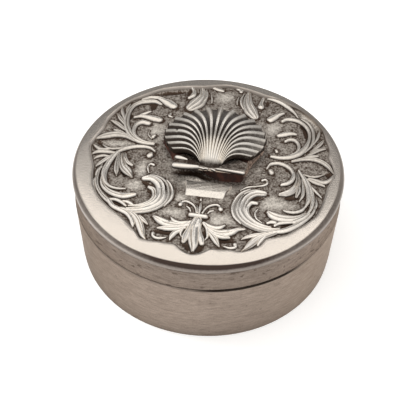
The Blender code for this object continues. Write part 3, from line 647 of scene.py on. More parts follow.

# ---------------------------------------------------------------- the leaves of the field
# Acanthus scrolls cast with the lid stand on the sunk field: ribbed leaves, hooks and curls with rounded ends,
# polished on top and dark down their sides with patina and painted shade.
# Each row: its rise in millimetres, its grooves as (place across at the root, at the tip) from -1 to 1 with
# plus on the left of the way it runs, then (x, y, half width) in shares of the lid's radius.
LEAVES_FRONT_LEFT = (
    (1.05, ((.05, -.42), (.55, .35)), (  # ring
        (-.438, -.222, .02), (-.385, -.207, .036), (-.325, -.236, .046), (-.29, -.292, .049),
        (-.279, -.37, .05), (-.296, -.438, .048), (-.345, -.494, .042), (-.412, -.532, .032),
        (-.49, -.552, .023), (-.57, -.54, .014)
    )),
    (.8, (), (  # ring crescent
        (-.275, -.215, .006), (-.235, -.265, .012), (-.213, -.33, .014), (-.222, -.405, .012),
        (-.252, -.47, .005)
    )),
    (.95, ((0, 0),), (  # ring inner
        (-.39, -.305, .012), (-.352, -.325, .02), (-.335, -.375, .022), (-.348, -.43, .021),
        (-.385, -.47, .018), (-.44, -.495, .012), (-.5, -.505, .006)
    )),
    (.8, (), (  # ring root line
        (-.355, -.475, .006), (-.4, -.503, .01), (-.455, -.522, .01), (-.51, -.528, .006)
    )),
    (.95, (), (  # stem smooth
        (-.69, .02, .016), (-.715, -.05, .02), (-.733, -.12, .023), (-.74, -.19, .024), (-.73, -.255, .022),
        (-.702, -.31, .016), (-.66, -.342, .012), (-.61, -.352, .01), (-.555, -.345, .006)
    )),
    (1, ((.15, -.1),), (  # stem leaf
        (-.745, -.2, .006), (-.742, -.275, .014), (-.72, -.335, .018), (-.675, -.38, .022),
        (-.61, -.408, .026), (-.545, -.412, .028), (-.48, -.392, .016)
    )),
    (.85, ((0, 0),), (  # stem outer
        (-.77, -.12, .006), (-.782, -.2, .012), (-.778, -.28, .015), (-.757, -.35, .016),
        (-.717, -.412, .018), (-.672, -.458, .02), (-.628, -.5, .016)
    )),
    (.9, (), (  # eye under
        (-.65, -.47, .018), (-.61, -.52, .02), (-.56, -.545, .02), (-.5, -.575, .018), (-.462, -.62, .016),
        (-.44, -.685, .006)
    )),
    (.8, (), ((-.648, -.462, .01), (-.6, -.459, .014), (-.555, -.477, .014), (-.52, -.507, .01))),  # eye over
    (.7, (), (  # eye curl
        (-.545, -.465, .008), (-.51, -.468, .014), (-.48, -.484, .013), (-.462, -.498, .004)
    )),
    (.75, ((0, 0),), (  # rim leaf 1
        (-.715, -.01, .01), (-.755, -.06, .018), (-.79, -.11, .016), (-.812, -.148, .006)
    )),
    (.7, (), ((-.77, -.15, .008), (-.79, -.19, .013), (-.796, -.24, .005))),  # rim leaf 2
    (.65, (), (  # rim leaf 3
        (-.785, -.25, .005), (-.795, -.3, .012), (-.782, -.355, .01), (-.758, -.395, .005)
    )),
    (.85, ((0, 0),), (  # hang a
        (-.672, .01, .01), (-.672, -.06, .016), (-.664, -.13, .021), (-.655, -.18, .018),
        (-.645, -.222, .005)
    )),
    (1, ((-.35, -.4), (.3, .35)), (  # hang b
        (-.648, .01, .012), (-.64, -.06, .022), (-.612, -.125, .032), (-.572, -.17, .032),
        (-.535, -.218, .01)
    )),
    (.85, ((0, 0),), (  # hang c
        (-.625, .01, .01), (-.615, -.035, .015), (-.59, -.075, .016), (-.558, -.098, .012)
    )),
    (.55, (), (  # hook
        (-.4, -.068, .012), (-.421, -.064, .009), (-.434, -.085, .009), (-.433, -.115, .009),
        (-.418, -.155, .005)
    )),
    (.95, ((0, .1),), (  # spray
        (-.47, -.565, .014), (-.425, -.605, .024), (-.392, -.66, .027), (-.368, -.715, .026),
        (-.35, -.76, .02), (-.325, -.797, .006)
    )),
    (.85, ((0, 0),), ((-.405, -.59, .01), (-.372, -.62, .018), (-.338, -.655, .007))),  # spray leaflet
    (.9, (), ((-.462, -.6, .012), (-.442, -.65, .02), (-.432, -.692, .008))),  # spray lobe
    (.75, (), (  # comma
        (-.284, -.732, .014), (-.28, -.752, .012), (-.258, -.768, .012), (-.226, -.768, .011),
        (-.192, -.756, .005)
    )),
)
LEAVES_FRONT_RIGHT = (
    (1.05, ((.35, .45), (-.3, -.15), (-.65, -.6)), (  # ring
        (.425, -.245, .026), (.37, -.245, .034), (.312, -.285, .042), (.282, -.345, .046),
        (.275, -.415, .048), (.295, -.48, .046), (.345, -.537, .04), (.415, -.575, .032), (.49, -.59, .026),
        (.56, -.575, .014)
    )),
    (.7, (), (  # ring outer line
        (.33, -.215, .005), (.27, -.262, .01), (.232, -.335, .011), (.222, -.415, .011), (.245, -.495, .011),
        (.295, -.555, .006)
    )),
    (.95, (), (  # ring inner
        (.385, -.35, .014), (.35, -.35, .018), (.328, -.385, .018), (.325, -.43, .018), (.345, -.48, .016),
        (.39, -.525, .014), (.45, -.553, .01), (.505, -.562, .006)
    )),
    (.3, (), ((.4, -.4, .004), (.385, -.44, .007), (.4, -.49, .007), (.44, -.525, .004))),  # ring floor line
    (1, ((0, 0),), (  # leaf broad
        (.735, -.395, .006), (.69, -.44, .02), (.63, -.462, .032), (.56, -.462, .036), (.505, -.445, .032),
        (.478, -.425, .016)
    )),
    (.85, (), (  # leaf thin
        (.735, -.32, .008), (.705, -.37, .015), (.66, -.396, .015), (.61, -.4, .012), (.58, -.392, .006)
    )),
    (.95, (), (  # stem smooth
        (.665, .02, .012), (.705, -.055, .017), (.732, -.125, .019), (.747, -.2, .02), (.747, -.27, .018),
        (.73, -.335, .01)
    )),
    (.85, (), (  # stem mid
        (.69, -.01, .008), (.738, -.09, .012), (.768, -.18, .015), (.778, -.27, .016), (.768, -.35, .014),
        (.735, -.42, .008)
    )),
    (.9, (), (  # stem outer
        (.8, -.3, .006), (.79, -.37, .012), (.757, -.435, .014), (.71, -.49, .02), (.66, -.535, .024),
        (.6, -.575, .024), (.53, -.6, .018)
    )),
    (.85, (), ((.76, -.395, .01), (.715, -.445, .02), (.66, -.487, .02))),  # stem edge
    (.8, (), ((.66, -.49, .012), (.61, -.5, .014), (.56, -.515, .014), (.53, -.54, .01))),  # eye over
    (.7, (), ((.48, -.522, .012), (.505, -.508, .016), (.535, -.515, .014), (.53, -.545, .008))),  # eye curl
    (.7, (), ((.755, -.12, .008), (.795, -.17, .012), (.838, -.225, .006))),  # rim leaf 1
    (.65, (), ((.802, -.25, .006), (.806, -.3, .012), (.8, -.35, .005))),  # rim leaf 2
    (.95, (), (  # hang c
        (.61, .03, .012), (.628, -.025, .017), (.62, -.08, .019), (.59, -.118, .019), (.552, -.138, .014)
    )),
    (1, ((-.2, 0), (.4, .45)), (  # hang b
        (.655, 0, .008), (.665, -.08, .02), (.655, -.14, .026), (.622, -.195, .03), (.58, -.225, .026),
        (.548, -.238, .014)
    )),
    (.9, ((0, 0),), ((.668, -.12, .012), (.672, -.18, .02), (.662, -.24, .012))),  # hang b lobe
    (.6, (), ((.69, -.06, .006), (.705, -.14, .012), (.705, -.22, .014), (.685, -.285, .005))),  # hang a
    (.6, (), (  # hook
        (.408, -.112, .01), (.428, -.102, .009), (.443, -.118, .009), (.441, -.145, .01), (.418, -.165, .008),
        (.375, -.18, .004)
    )),
    (.35, (), ((.375, -.18, .004), (.31, -.195, .007), (.262, -.235, .004))),  # hook tail
    (.95, ((0, -.1), (.5, .55)), (  # spray
        (.54, -.605, .016), (.475, -.64, .024), (.425, -.675, .028), (.39, -.72, .028), (.36, -.765, .02),
        (.33, -.803, .006)
    )),
    (.85, ((0, 0),), (  # spray leaflet
        (.475, -.622, .01), (.41, -.645, .017), (.355, -.67, .015), (.318, -.698, .005)
    )),
    (.85, (), ((.47, -.65, .014), (.445, -.69, .02), (.432, -.735, .01))),  # spray lobe
    (.75, (), (  # comma
        (.279, -.75, .015), (.284, -.768, .012), (.268, -.782, .012), (.24, -.787, .011), (.205, -.779, .005)
    )),
)
LEAVES_FRONT_MIDDLE = (
    (1.3, (), ((-.054, -.527, .019), (0, -.529, .018), (.048, -.531, .018))),  # collar
    (.75, (), (  # curl left
        (-.02, -.497, .008), (-.03, -.462, .008), (-.05, -.431, .009), (-.08, -.41, .009),
        (-.11, -.402, .009), (-.133, -.413, .01), (-.142, -.436, .016)
    )),
    (.75, (), (  # curl right
        (.022, -.497, .008), (.034, -.462, .008), (.054, -.431, .009), (.08, -.413, .009), (.11, -.405, .009),
        (.133, -.415, .01), (.143, -.44, .017)
    )),
    (.5, (), ((-.062, -.49, .006), (-.073, -.465, .008), (-.095, -.448, .005))),  # curl left inner
    (.5, (), ((.06, -.492, .006), (.07, -.473, .008), (.095, -.463, .005))),  # curl right inner
    (.6, (), ((0, -.505, .009), (0, -.45, .012), (0, -.392, .005))),  # bud
    (.5, (), ((-.012, -.5, .005), (-.02, -.455, .006), (-.024, -.425, .003))),  # bud left
    (.5, (), ((-.006, -.372, .009), (-.006, -.358, .007))),  # bud dot
    (1.05, ((-.25, -.35),), (  # heart
        (-.004, -.570, .034), (-.012, -.61, .042), (-.015, -.65, .038), (-.008, -.73, .038),
        (.002, -.79, .031), (.005, -.845, .013)
    )),
    (1, ((.1, .1),), (  # heart left
        (-.036, -.60, .020), (-.047, -.66, .022), (-.060, -.725, .028), (-.068, -.772, .017)
    )),
    (1, (), (  # heart right
        (.016, -.60, .016), (.026, -.655, .013), (.036, -.70, .018), (.047, -.74, .024), (.056, -.772, .019)
    )),
    (.85, (), (  # loop left
        (-.050, -.59, .014), (-.082, -.63, .014), (-.094, -.67, .012), (-.098, -.71, .009),
        (-.088, -.735, .004)
    )),
    (.85, (), (  # loop right
        (.045, -.59, .014), (.072, -.635, .013), (.082, -.68, .012), (.084, -.715, .009), (.074, -.74, .004)
    )),
    (.9, (), (  # left thin
        (-.04, -.59, .012), (-.085, -.603, .014), (-.125, -.61, .016), (-.158, -.6, .015),
        (-.178, -.582, .011), (-.19, -.564, .004)
    )),
    (1, ((-.1, .2),), (  # left wing
        (-.06, -.625, .014), (-.12, -.636, .024), (-.18, -.632, .032), (-.235, -.615, .034),
        (-.28, -.594, .024), (-.314, -.578, .005)
    )),
    (1, ((0, 0),), (  # left wing low
        (-.08, -.65, .014), (-.14, -.664, .022), (-.2, -.672, .024), (-.262, -.682, .007)
    )),
    (.85, (), (  # left low
        (-.095, -.672, .012), (-.135, -.7, .019), (-.155, -.735, .019), (-.163, -.775, .006)
    )),
    (.9, (), (  # right thin
        (.046, -.588, .012), (.085, -.61, .016), (.127, -.62, .018), (.163, -.612, .016), (.188, -.592, .009)
    )),
    (1, ((.1, -.2),), (  # right wing
        (.066, -.625, .012), (.11, -.652, .02), (.16, -.664, .028), (.205, -.655, .034), (.248, -.636, .028),
        (.285, -.614, .016), (.33, -.606, .007)
    )),
    (1, ((0, 0),), (  # right wing low
        (.092, -.652, .012), (.135, -.68, .02), (.185, -.692, .022), (.232, -.698, .01)
    )),
    (.85, ((0, 0),), (  # right low
        (.085, -.66, .012), (.125, -.703, .022), (.152, -.745, .02), (.174, -.783, .007)
    )),
)
LEAVES_SIDES = (
    (1.05, ((0, 0),), (  # left hollow over
        (-.59, .165, .01), (-.66, .205, .022), (-.74, .215, .032), (-.81, .19, .034), (-.868, .15, .012)
    )),
    (.9, ((0, 0),), ((-.655, .215, .012), (-.715, .245, .02), (-.762, .262, .01))),  # left hollow bump
    (.8, (), (  # left hollow under
        (-.62, .095, .006), (-.69, .062, .01), (-.76, .053, .011), (-.815, .085, .004)
    )),
    (.8, (), ((-.76, .045, .01), (-.815, .035, .018), (-.862, .06, .013), (-.885, .078, .004))),  # left tip 1
    (.9, (), ((-.7, .01, .012), (-.77, .015, .02), (-.83, .008, .02), (-.866, -.022, .007))),  # left tip 2
    (.7, (), (  # left tip 3
        (-.74, -.03, .008), (-.79, -.03, .014), (-.825, -.05, .012), (-.845, -.075, .005)
    )),
    (.95, (), (  # left arch
        (-.68, .03, .014), (-.64, .07, .022), (-.58, .098, .02), (-.51, .11, .016), (-.45, .1, .012),
        (-.415, .072, .008)
    )),
    (.95, (), ((-.44, .03, .024), (-.446, .022, .022))),  # left arch ball
    (.75, ((0, 0),), (  # left fan 1
        (-.64, .25, .008), (-.7, .295, .016), (-.755, .34, .02), (-.815, .368, .006)
    )),
    (.75, ((0, 0),), (  # left fan 2
        (-.665, .3, .008), (-.715, .365, .016), (-.75, .41, .018), (-.78, .455, .006)
    )),
    (.7, (), ((-.69, .35, .006), (-.725, .43, .013), (-.75, .49, .015), (-.76, .54, .005))),  # left fan 3
    (.6, (), ((-.705, .45, .006), (-.715, .52, .013), (-.705, .585, .005))),  # left fan 4
    (1.05, ((0, 0),), (  # right hollow over
        (.61, .115, .01), (.68, .148, .018), (.75, .162, .022), (.815, .148, .022), (.872, .105, .02),
        (.915, .035, .006)
    )),
    (.9, (), ((.69, .165, .008), (.745, .19, .016), (.795, .2, .01))),  # right hollow bump
    (.8, (), (  # right hollow under
        (.7, -.01, .006), (.75, -.025, .01), (.8, -.018, .01), (.85, .012, .004)
    )),
    (.85, (), (  # right tip 1
        (.74, -.045, .008), (.8, -.06, .016), (.85, -.07, .02), (.892, -.04, .018), (.918, .015, .006)
    )),
    (.8, (), ((.73, -.055, .008), (.79, -.08, .018), (.855, -.108, .008))),  # right tip 2
    (.95, (), (  # right arch
        (.43, .015, .01), (.45, .06, .014), (.5, .08, .016), (.555, .07, .018), (.6, .035, .018),
        (.622, -.01, .014)
    )),
    (.95, (), ((.46, -.012, .022), (.466, -.022, .02))),  # right arch ball
    (.7, ((0, 0),), ((.7, .175, .006), (.75, .225, .014), (.8, .27, .017), (.85, .29, .006))),  # right fan 1
    (.7, ((0, 0),), (  # right fan 2
        (.74, .24, .006), (.785, .3, .014), (.815, .35, .016), (.835, .39, .006)
    )),
    (.65, (), ((.76, .33, .006), (.785, .4, .012), (.795, .45, .013), (.8, .49, .005))),  # right fan 3
)
LEAVES_BACK_LEFT = (
    (.95, ((0, 0),), (  # stem
        (-.44, .15, .014), (-.5, .155, .02), (-.56, .172, .024), (-.615, .212, .026), (-.655, .27, .026),
        (-.685, .34, .024), (-.698, .42, .022), (-.695, .5, .02), (-.672, .57, .02), (-.625, .618, .022),
        (-.565, .64, .022), (-.51, .645, .018), (-.462, .618, .01)
    )),
    (1, (), (  # hook
        (-.522, .378, .022), (-.57, .385, .024), (-.608, .35, .02), (-.618, .295, .017), (-.605, .24, .016),
        (-.57, .195, .016), (-.52, .17, .01)
    )),
    (.95, (), (  # lobe
        (-.64, .43, .01), (-.59, .452, .018), (-.53, .45, .026), (-.485, .443, .032), (-.45, .435, .03)
    )),
    (.6, (), ((-.6, .47, .01), (-.56, .5, .014), (-.53, .52, .008))),  # lobe back
    (.95, (), ((-.495, .685, .01), (-.452, .67, .027), (-.407, .648, .04), (-.37, .62, .036))),  # cap
    (.6, ((0, 0),), ((-.62, .66, .01), (-.56, .695, .016), (-.5, .7, .018), (-.45, .69, .012))),  # cap root
    (.85, (), ((-.45, .24, .018), (-.455, .232, .017))),  # ball
    (.4, (), ((-.5, .3, .004), (-.495, .25, .006), (-.465, .21, .004))),  # ball line
    (.45, (), ((-.372, .52, .01), (-.375, .495, .011), (-.35, .482, .006))),  # dot
    (1, ((-.35, -.3), (.35, .35)), (  # crown
        (-.165, .86, .018), (-.148, .79, .034), (-.16, .73, .05), (-.185, .675, .06), (-.215, .628, .046)
    )),
    (.9, (), ((-.13, .85, .006), (-.115, .79, .01), (-.125, .72, .01), (-.155, .66, .005))),  # crown strand
    (.9, (), ((-.25, .865, .012), (-.225, .82, .017), (-.228, .77, .022), (-.252, .735, .016))),  # crown lobe
    (.7, (), ((-.085, .8, .005), (-.072, .75, .009), (-.068, .7, .006))),  # back bud left
)
LEAVES_BACK_RIGHT = (
    (.95, (), (  # stem
        (.45, .145, .012), (.52, .142, .018), (.59, .162, .024), (.65, .205, .028), (.69, .262, .024),
        (.715, .33, .016), (.725, .4, .013), (.718, .465, .015), (.69, .525, .018), (.64, .572, .02),
        (.585, .59, .02), (.535, .585, .018), (.508, .56, .014)
    )),
    (.7, (), (  # stem side
        (.7, .23, .006), (.742, .31, .012), (.755, .4, .014), (.745, .49, .014), (.71, .56, .012),
        (.65, .61, .006)
    )),
    (1, (), (  # hook
        (.545, .328, .012), (.575, .352, .016), (.615, .35, .018), (.645, .31, .016), (.65, .26, .014),
        (.63, .212, .012), (.59, .18, .008)
    )),
    (.9, (), ((.62, .42, .01), (.575, .425, .022), (.53, .41, .026), (.49, .388, .018))),  # lobe
    (.9, (), ((.51, .655, .01), (.474, .632, .02), (.44, .6, .03), (.415, .57, .03))),  # cap
    (.9, (), (  # border leaf
        (.37, .815, .006), (.42, .808, .015), (.48, .785, .02), (.54, .738, .02), (.59, .68, .013),
        (.625, .62, .005)
    )),
    (.8, (), ((.482, .215, .016), (.486, .208, .015))),  # ball
    (.95, ((-.4, -.3), (.3, .35)), (  # crown
        (.215, .86, .02), (.212, .79, .034), (.222, .72, .044), (.25, .65, .052), (.28, .595, .038)
    )),
    (.85, (), ((.175, .84, .006), (.162, .78, .011), (.168, .72, .011), (.19, .66, .006))),  # crown strand
    (.6, (), ((.14, .81, .004), (.132, .76, .008), (.135, .71, .005))),  # crown strand 2
    (.9, (), ((.335, .81, .014), (.325, .76, .016), (.325, .712, .026))),  # crown ball
    (.35, (), ((-.07, .9, .02), (-.03, .885, .026), (0, .87, .014))),  # back knot left
    (.4, (), ((.11, .925, .018), (.145, .905, .026), (.15, .88, .014))),  # back knot right
)
LEAF_SPACING = 0.00024
LEAF_FOOT = 0.0004
LEAF_FULLNESS = 1.12
ACROSS = np.sin(np.linspace(-1, 1, 19) * math.pi / 2)
CROSS_POWER = 0.75
END_POWER = 0.7
NARROW_DROP = 0.32
GROOVE_DEPTH = 0.55
GROOVE_HALF = 0.14
# A leaf darkens with patina and painted shade below this share of its height, over this run, and with painted
# shade towards the lid's sides by so much.
FLANK_FROM = 0.72
FLANK_RUN = 0.58
FLANK_POWER = 1.2
SIDE_SHADE = 0.22
SIDE_FROM = 0.52
SIDE_RUN = 0.15
FRONT_METAL = (0.96, 0.90, 0.83)
FRONT_DARK = (0.060, 0.045, 0.037)
# The leaves at the sides and back: the same silver, duller and painted darker, a painted shade.
BACK_SHADED_METAL = (0.84, 0.78, 0.71)
BACK_DARK = (0.080, 0.060, 0.050)


def raised(plan, height):
    """Places seen from above and their heights, joined to points."""
    return np.concatenate([plan, np.broadcast_to(height, plan.shape[:-1])[..., None]], -1)


def smooth_line(knots, spacing):
    """The smooth curve through given points (each stretch a cubic whose slope at a point is half the step
    between its two neighbours), in even steps along its length."""
    ends = np.concatenate([2 * knots[:1] - knots[1:2], knots, 2 * knots[-1:] - knots[-2:-1]])
    spot = np.linspace(0, len(knots) - 1, 30 * (len(knots) - 1) + 1)
    index = np.minimum(spot.astype(int), len(knots) - 2)
    t = (spot - index)[:, None]
    a, b, c, d = (ends[index + k] for k in range(4))
    line = 0.5 * (2 * b + (c - a) * t + (2 * a - 5 * b + 4 * c - d) * t**2 + (3 * b - a - 3 * c + d) * t**3)
    length = np.concatenate([[0], np.cumsum(np.hypot(*np.diff(line[:, :2], axis=0).T))])
    even = np.linspace(0, length[-1], max(int(length[-1] / spacing) + 1, 3))
    return np.stack([np.interp(even, length, column) for column in line.T], -1)


def round_ended(line):
    """Carries a line of (x, y, half width) on past both ends in a half circle; also returns each place's share
    of the height: the sine of the way round the end, to a power, and one between the ends."""
    bend = np.linspace(math.radians(10), math.radians(80), 6)
    ends = []
    for end, inner in ((line[0], line[1]), (line[-1], line[-2])):
        way = (end[:2] - inner[:2]) / np.hypot(*(end[:2] - inner[:2]))
        reach = end[2] * np.cos(bend)
        ends.append(np.column_stack([end[:2] + way * reach[:, None], end[2] * np.sin(bend)]))
    share = np.sin(bend) ** END_POWER
    whole = np.concatenate([ends[0], line, ends[1][::-1]])
    return whole, np.concatenate([share, np.ones(len(line)), share[::-1]])


def leaf(row, floor):
    """One leaf on a floor. Its middle's height is the rise times one less e to the power of minus the half
    width over a part of the rise, so narrow leaves are low. Across it the height falls as the 0.75th power of
    one less the square of the place across, and the grooves cut it. Returns points, mask and middle line."""
    rise, grooves, knots = row
    rise *= 0.001
    wide = (RADIUS, RADIUS, LEAF_FULLNESS * RADIUS)
    line, end_share = round_ended(smooth_line(np.array(knots) * wide, LEAF_SPACING))
    centre, half = line[:, :2], line[:, 2:]
    way = np.gradient(centre, axis=0)
    way /= np.hypot(way[:, 0], way[:, 1])[:, None]
    left = np.stack([-way[:, 1], way[:, 0]], -1)
    run = np.linspace(0, 1, len(line))[:, None]
    high = rise * (1 - np.exp(-half / (NARROW_DROP * rise))) * end_share[:, None]
    cut = np.zeros((len(line), len(ACROSS)))
    for at_root, at_tip in grooves:
        cut += np.exp(-(((ACROSS - at_root - (at_tip - at_root) * run) / GROOVE_HALF) ** 2))
    share = (1 - ACROSS**2) ** CROSS_POWER * (1 - GROOVE_DEPTH * np.minimum(cut, 1))
    plan = centre[:, None] + left[:, None] * (half * ACROSS)[:, :, None]
    top = raised(plan, floor(plan) + high * share)
    foot = top[:, [-1, 0]] - (0, 0, LEAF_FOOT)
    # Patina and painted shade down the flanks, and painted shade towards the lid's sides.
    mask = ramp(share, FLANK_FROM, -FLANK_RUN) ** FLANK_POWER
    mask += SIDE_SHADE * ramp(np.abs(centre[:, :1]) / RADIUS, SIDE_FROM, SIDE_RUN)
    mask = np.concatenate([mask, np.ones((len(line), 2))], 1)
    return np.concatenate([top, foot], 1), mask, line


def add_stacks(name, stacks, material, node, sharp, mask_name="patina"):
    """Puts stacks of closed rings, as (points, mask), into the scene as one casting, their ends closed."""
    points, quads, caps, start = [], [], [], 0
    for rings, _ in stacks:
        count, around = rings.shape[:2]
        first = np.arange(around) + start
        points.append(rings.reshape(-1, 3))
        quads.append(grid_quads(count, around, False, True) + start)
        caps += [first.tolist(), (first[::-1] + (count - 1) * around).tolist()]
        start += count * around
    mask = np.concatenate([values.ravel() for _, values in stacks])
    add_piece(
        name, np.concatenate(points), np.concatenate(quads), material, "lid", node, caps, sharp,
        (mask_name, mask),
    )


def add_leaves(name, rows, material, node="lid_plate", floor=lambda plan: GROUND):
    """All leaves of some tables as one casting; returns their middle lines."""
    leaves = [leaf(row, floor) for row in rows]
    add_stacks(name, [(rings, mask) for rings, mask, _ in leaves], material, node, 60)
    return [line for _, _, line in leaves]


leaf_metal = patinated("silver_leaves_worn", FRONT_METAL, FRONT_DARK, 0.18, 1400.0, 0.16, 0.6)
front_rows = LEAVES_FRONT_LEFT + LEAVES_FRONT_RIGHT + LEAVES_FRONT_MIDDLE
leaf_lines = add_leaves("leaves_front", front_rows, leaf_metal)
back_metal = patinated("silver_leaves_back_dull_shaded", BACK_SHADED_METAL, BACK_DARK, 0.20, 1400.0, 0.24, 0.6)
leaf_lines += add_leaves("leaves_back", LEAVES_SIDES + LEAVES_BACK_LEFT + LEAVES_BACK_RIGHT, back_metal)

# ---------------------------------------------------------------- the field's ground
# The sunk ground between the leaves, cast with the lid. It is never polished: brown grey and mottled, darkest
# right beside the leaves with patina and painted shadow, paler where cloths have reached and where light is
# painted.
GROUND_ANGLES = 540
GROUND_RINGS = 150
# Deep hollows, dark with patina and painted shadow, and pale patches of rubbed wear and painted light, in
# shares of the lid's radius: (x, y, half length, half width, turned by degrees).
HOLLOWS = (
    (-.586, -.493, .036, .020, -15), (.605, -.530, .034, .018, 25), (-.405, -.275, .045, .014, -25),
    (.395, -.300, .045, .016, 12), (-.225, -.710, .060, .014, -2), (.205, -.722, .045, .020, 0),
    (-.040, -.820, .014, .032, 20), (.048, -.820, .015, .032, -20), (.620, -.262, .045, .016, 10),
    (-.512, -.507, .010, .014, 0), (-.070, -.690, .012, .036, 8), (.056, -.690, .012, .030, 0),
    (-.515, .590, .024, .036, 0), (.700, .440, .020, .060, 15), (.680, .520, .03, .03, 0),
    (-.60, -.17, .02, .05, 20), (-.130, -.128, .100, .022, -3), (-.030, -.150, .062, .018, -14),
    (-.675, .440, .016, .030, 0), (-.840, .110, .020, .020, 0), (.880, .015, .02, .02, 0),
    (.345, -.385, .03, .012, 30), (-.375, -.345, .018, .010, 0), (-.26, .80, .014, .04, 0),
    (.375, .76, .014, .035, 0), (-.40, .775, .11, .018, 16),
)
RUBBED_AND_LIT = (
    (-.180, -.520, .060, .035, 0), (.160, -.530, .090, .040, 0), (-.150, -.365, .035, .026, 0),
    (.500, -.330, .090, .060, 0), (-.500, -.290, .042, .036, 0), (.72, .60, .10, .05, -40),
    (-.470, -.120, .030, .070, 0), (-.460, .300, .050, .090, 0), (.440, .480, .040, .070, 0),
    (-.700, .120, .090, .022, 2), (.130, -.560, .06, .03, 0), (.030, .790, .050, .045, 0),
    (.020, -.225, .200, .036, -3), (.190, -.222, .110, .022, 4), (.520, -.350, .070, .040, 0),
)
HOLLOW_EDGE = 0.35
HOLLOW_DEPTH = 0.0003
RUBBED_EDGE = 0.9
# The dark beside the leaves, patina and painted shadow, fades over this length, and is looked for within the
# other.
BESIDE_FADE = 0.00045
BESIDE_LIMIT = 0.003
# How dark the ground is, and how much each of these changes it.
GROUND_TARNISH = 0.685
BESIDE_SHADOW_DARKENS = 0.40
HOLLOW_SHADOW_DARKENS = 0.6
RUBBING_AND_LIGHT = 0.64
# Low waves: (rise, length), the second ones crossing the first.
GROUND_WAVES = ((0.00005, 0.0021), (0.00003, 0.0011))
# The field rises this much towards the left half of the shell's hinge: from there on, over this run, on both
# sides of a middle, and as far back as the hinge.
HINGE_SWELL = 0.0009
SWELL_FROM = -0.235
SWELL_RUN = 0.07
SWELL_MIDDLE = -0.09
SWELL_HALF = 0.12
SWELL_BACK = -0.05
GROUND_METAL = (0.93, 0.865, 0.785)
GROUND_DARK = (0.088, 0.058, 0.042)


def ellipses(plan, rows, softness):
    """One inside each turned ellipse and nought outside, by the distance measured in its own half lengths."""
    inside = np.zeros(plan.shape[:-1])
    for x, y, half_long, half_wide, degrees in rows:
        turn = math.radians(degrees)
        dx, dy = plan[..., 0] / RADIUS - x, plan[..., 1] / RADIUS - y
        along = (dx * math.cos(turn) + dy * math.sin(turn)) / half_long
        across = (dy * math.cos(turn) - dx * math.sin(turn)) / half_wide
        inside = np.maximum(inside, ramp(np.hypot(along, across), 1 + softness, -2 * softness))
    return inside


def clear_of_leaves(plan):
    """How far each place lies from its nearest leaf's side: from its middle line, less the half width there."""
    flat = plan.reshape(-1, 2)
    near = np.full(len(flat), BESIDE_LIMIT)
    for line in leaf_lines:
        reach = line[:, 2].max() + BESIDE_LIMIT
        low, high = line[:, :2].min(0) - reach, line[:, :2].max(0) + reach
        index = np.flatnonzero(np.all((flat > low) & (flat < high), 1))
        gap = np.hypot(*(flat[index, None] - line[None, :, :2]).transpose(2, 0, 1)) - line[:, 2]
        near[index] = np.minimum(near[index], gap.min(1))
    return near.reshape(plan.shape[:-1])


def swell(plan, size, crossed=False):
    """Low irregular waves from minus one to one: the mean of six sines that cross at uneven angles."""
    x, y = (plan[..., 1], plan[..., 0]) if crossed else (plan[..., 0], plan[..., 1])
    turns = np.array([0.3, 1.1, 1.9, 2.6, 3.7, 5.0])[:, None, None]
    rate = 2 * math.pi / (size * np.array([1.0, 0.73, 1.31, 0.61, 0.87, 1.13])[:, None, None])
    return np.sin(rate * (x * np.cos(turns) + y * np.sin(turns)) + 3 * turns).mean(0)


angle = np.linspace(-math.pi, math.pi, GROUND_ANGLES, endpoint=False)[:, None]
radius = (field_radius(angle) + LIP_SINK) * np.linspace(0.01, 1, GROUND_RINGS)[None] ** 0.8
plan = np.stack([radius * np.cos(angle), radius * np.sin(angle)], -1)
hollow = ellipses(plan, HOLLOWS, HOLLOW_EDGE)
height = GROUND - HOLLOW_DEPTH * hollow
for crossed, (rise, size) in enumerate(GROUND_WAVES):
    height += rise * swell(plan, size, bool(crossed))
x, y = plan[..., 0] / RADIUS, plan[..., 1] / RADIUS
to_hinge = ramp(y, SWELL_FROM, SWELL_RUN) * np.clip(1.3 - np.abs(x - SWELL_MIDDLE) / SWELL_HALF, 0, 1)
height += HINGE_SWELL * to_hinge**1.3 * (y < SWELL_BACK)
beside = np.exp(-np.maximum(clear_of_leaves(plan), 0) / BESIDE_FADE)
tarnish_and_shade = GROUND_TARNISH + BESIDE_SHADOW_DARKENS * beside + HOLLOW_SHADOW_DARKENS * hollow
tarnish_and_shade -= RUBBING_AND_LIGHT * ellipses(plan, RUBBED_AND_LIT, RUBBED_EDGE) * (1 - beside)
under = raised(plan[:, [-1, 0]], LID_UNDER + UNDER_EDGE)
points = np.concatenate([raised(plan, height), under], 1)
mask = np.concatenate([np.clip(tarnish_and_shade, 0, 1.3), np.ones((GROUND_ANGLES, 2))], 1)
quads, discs = open_grid(GROUND_ANGLES, points.shape[1])
ground_metal = patinated(
    "silver_ground_tarnished", GROUND_METAL, GROUND_DARK, 0.65, 1750.0, 0.40, 0.60, 0.00005
)
add_piece(
    "lid_field", points, quads, ground_metal, "lid", "lid_plate", discs, 60,
    ("patina", mask),
)

# ---------------------------------------------------------------- the tablet
# A small plain label of silver, cast with the lid, below the shell. Its top is grained
# and its front edge falls in a broad polished bevel.
TABLET_CORNERS = (
    (-.128, -.338), (.152, -.338), (.168, -.270), (.200, -.212), (.120, -.200), (-.142, -.200),
    (-.132, -.270),
)
TABLET_FRONT = -.338
TABLET_BEVEL = 0.052
TABLET_RISE = 0.0007
TABLET_GRAIN = 0.00003
TABLET_GRAIN_SIZE = 0.0012
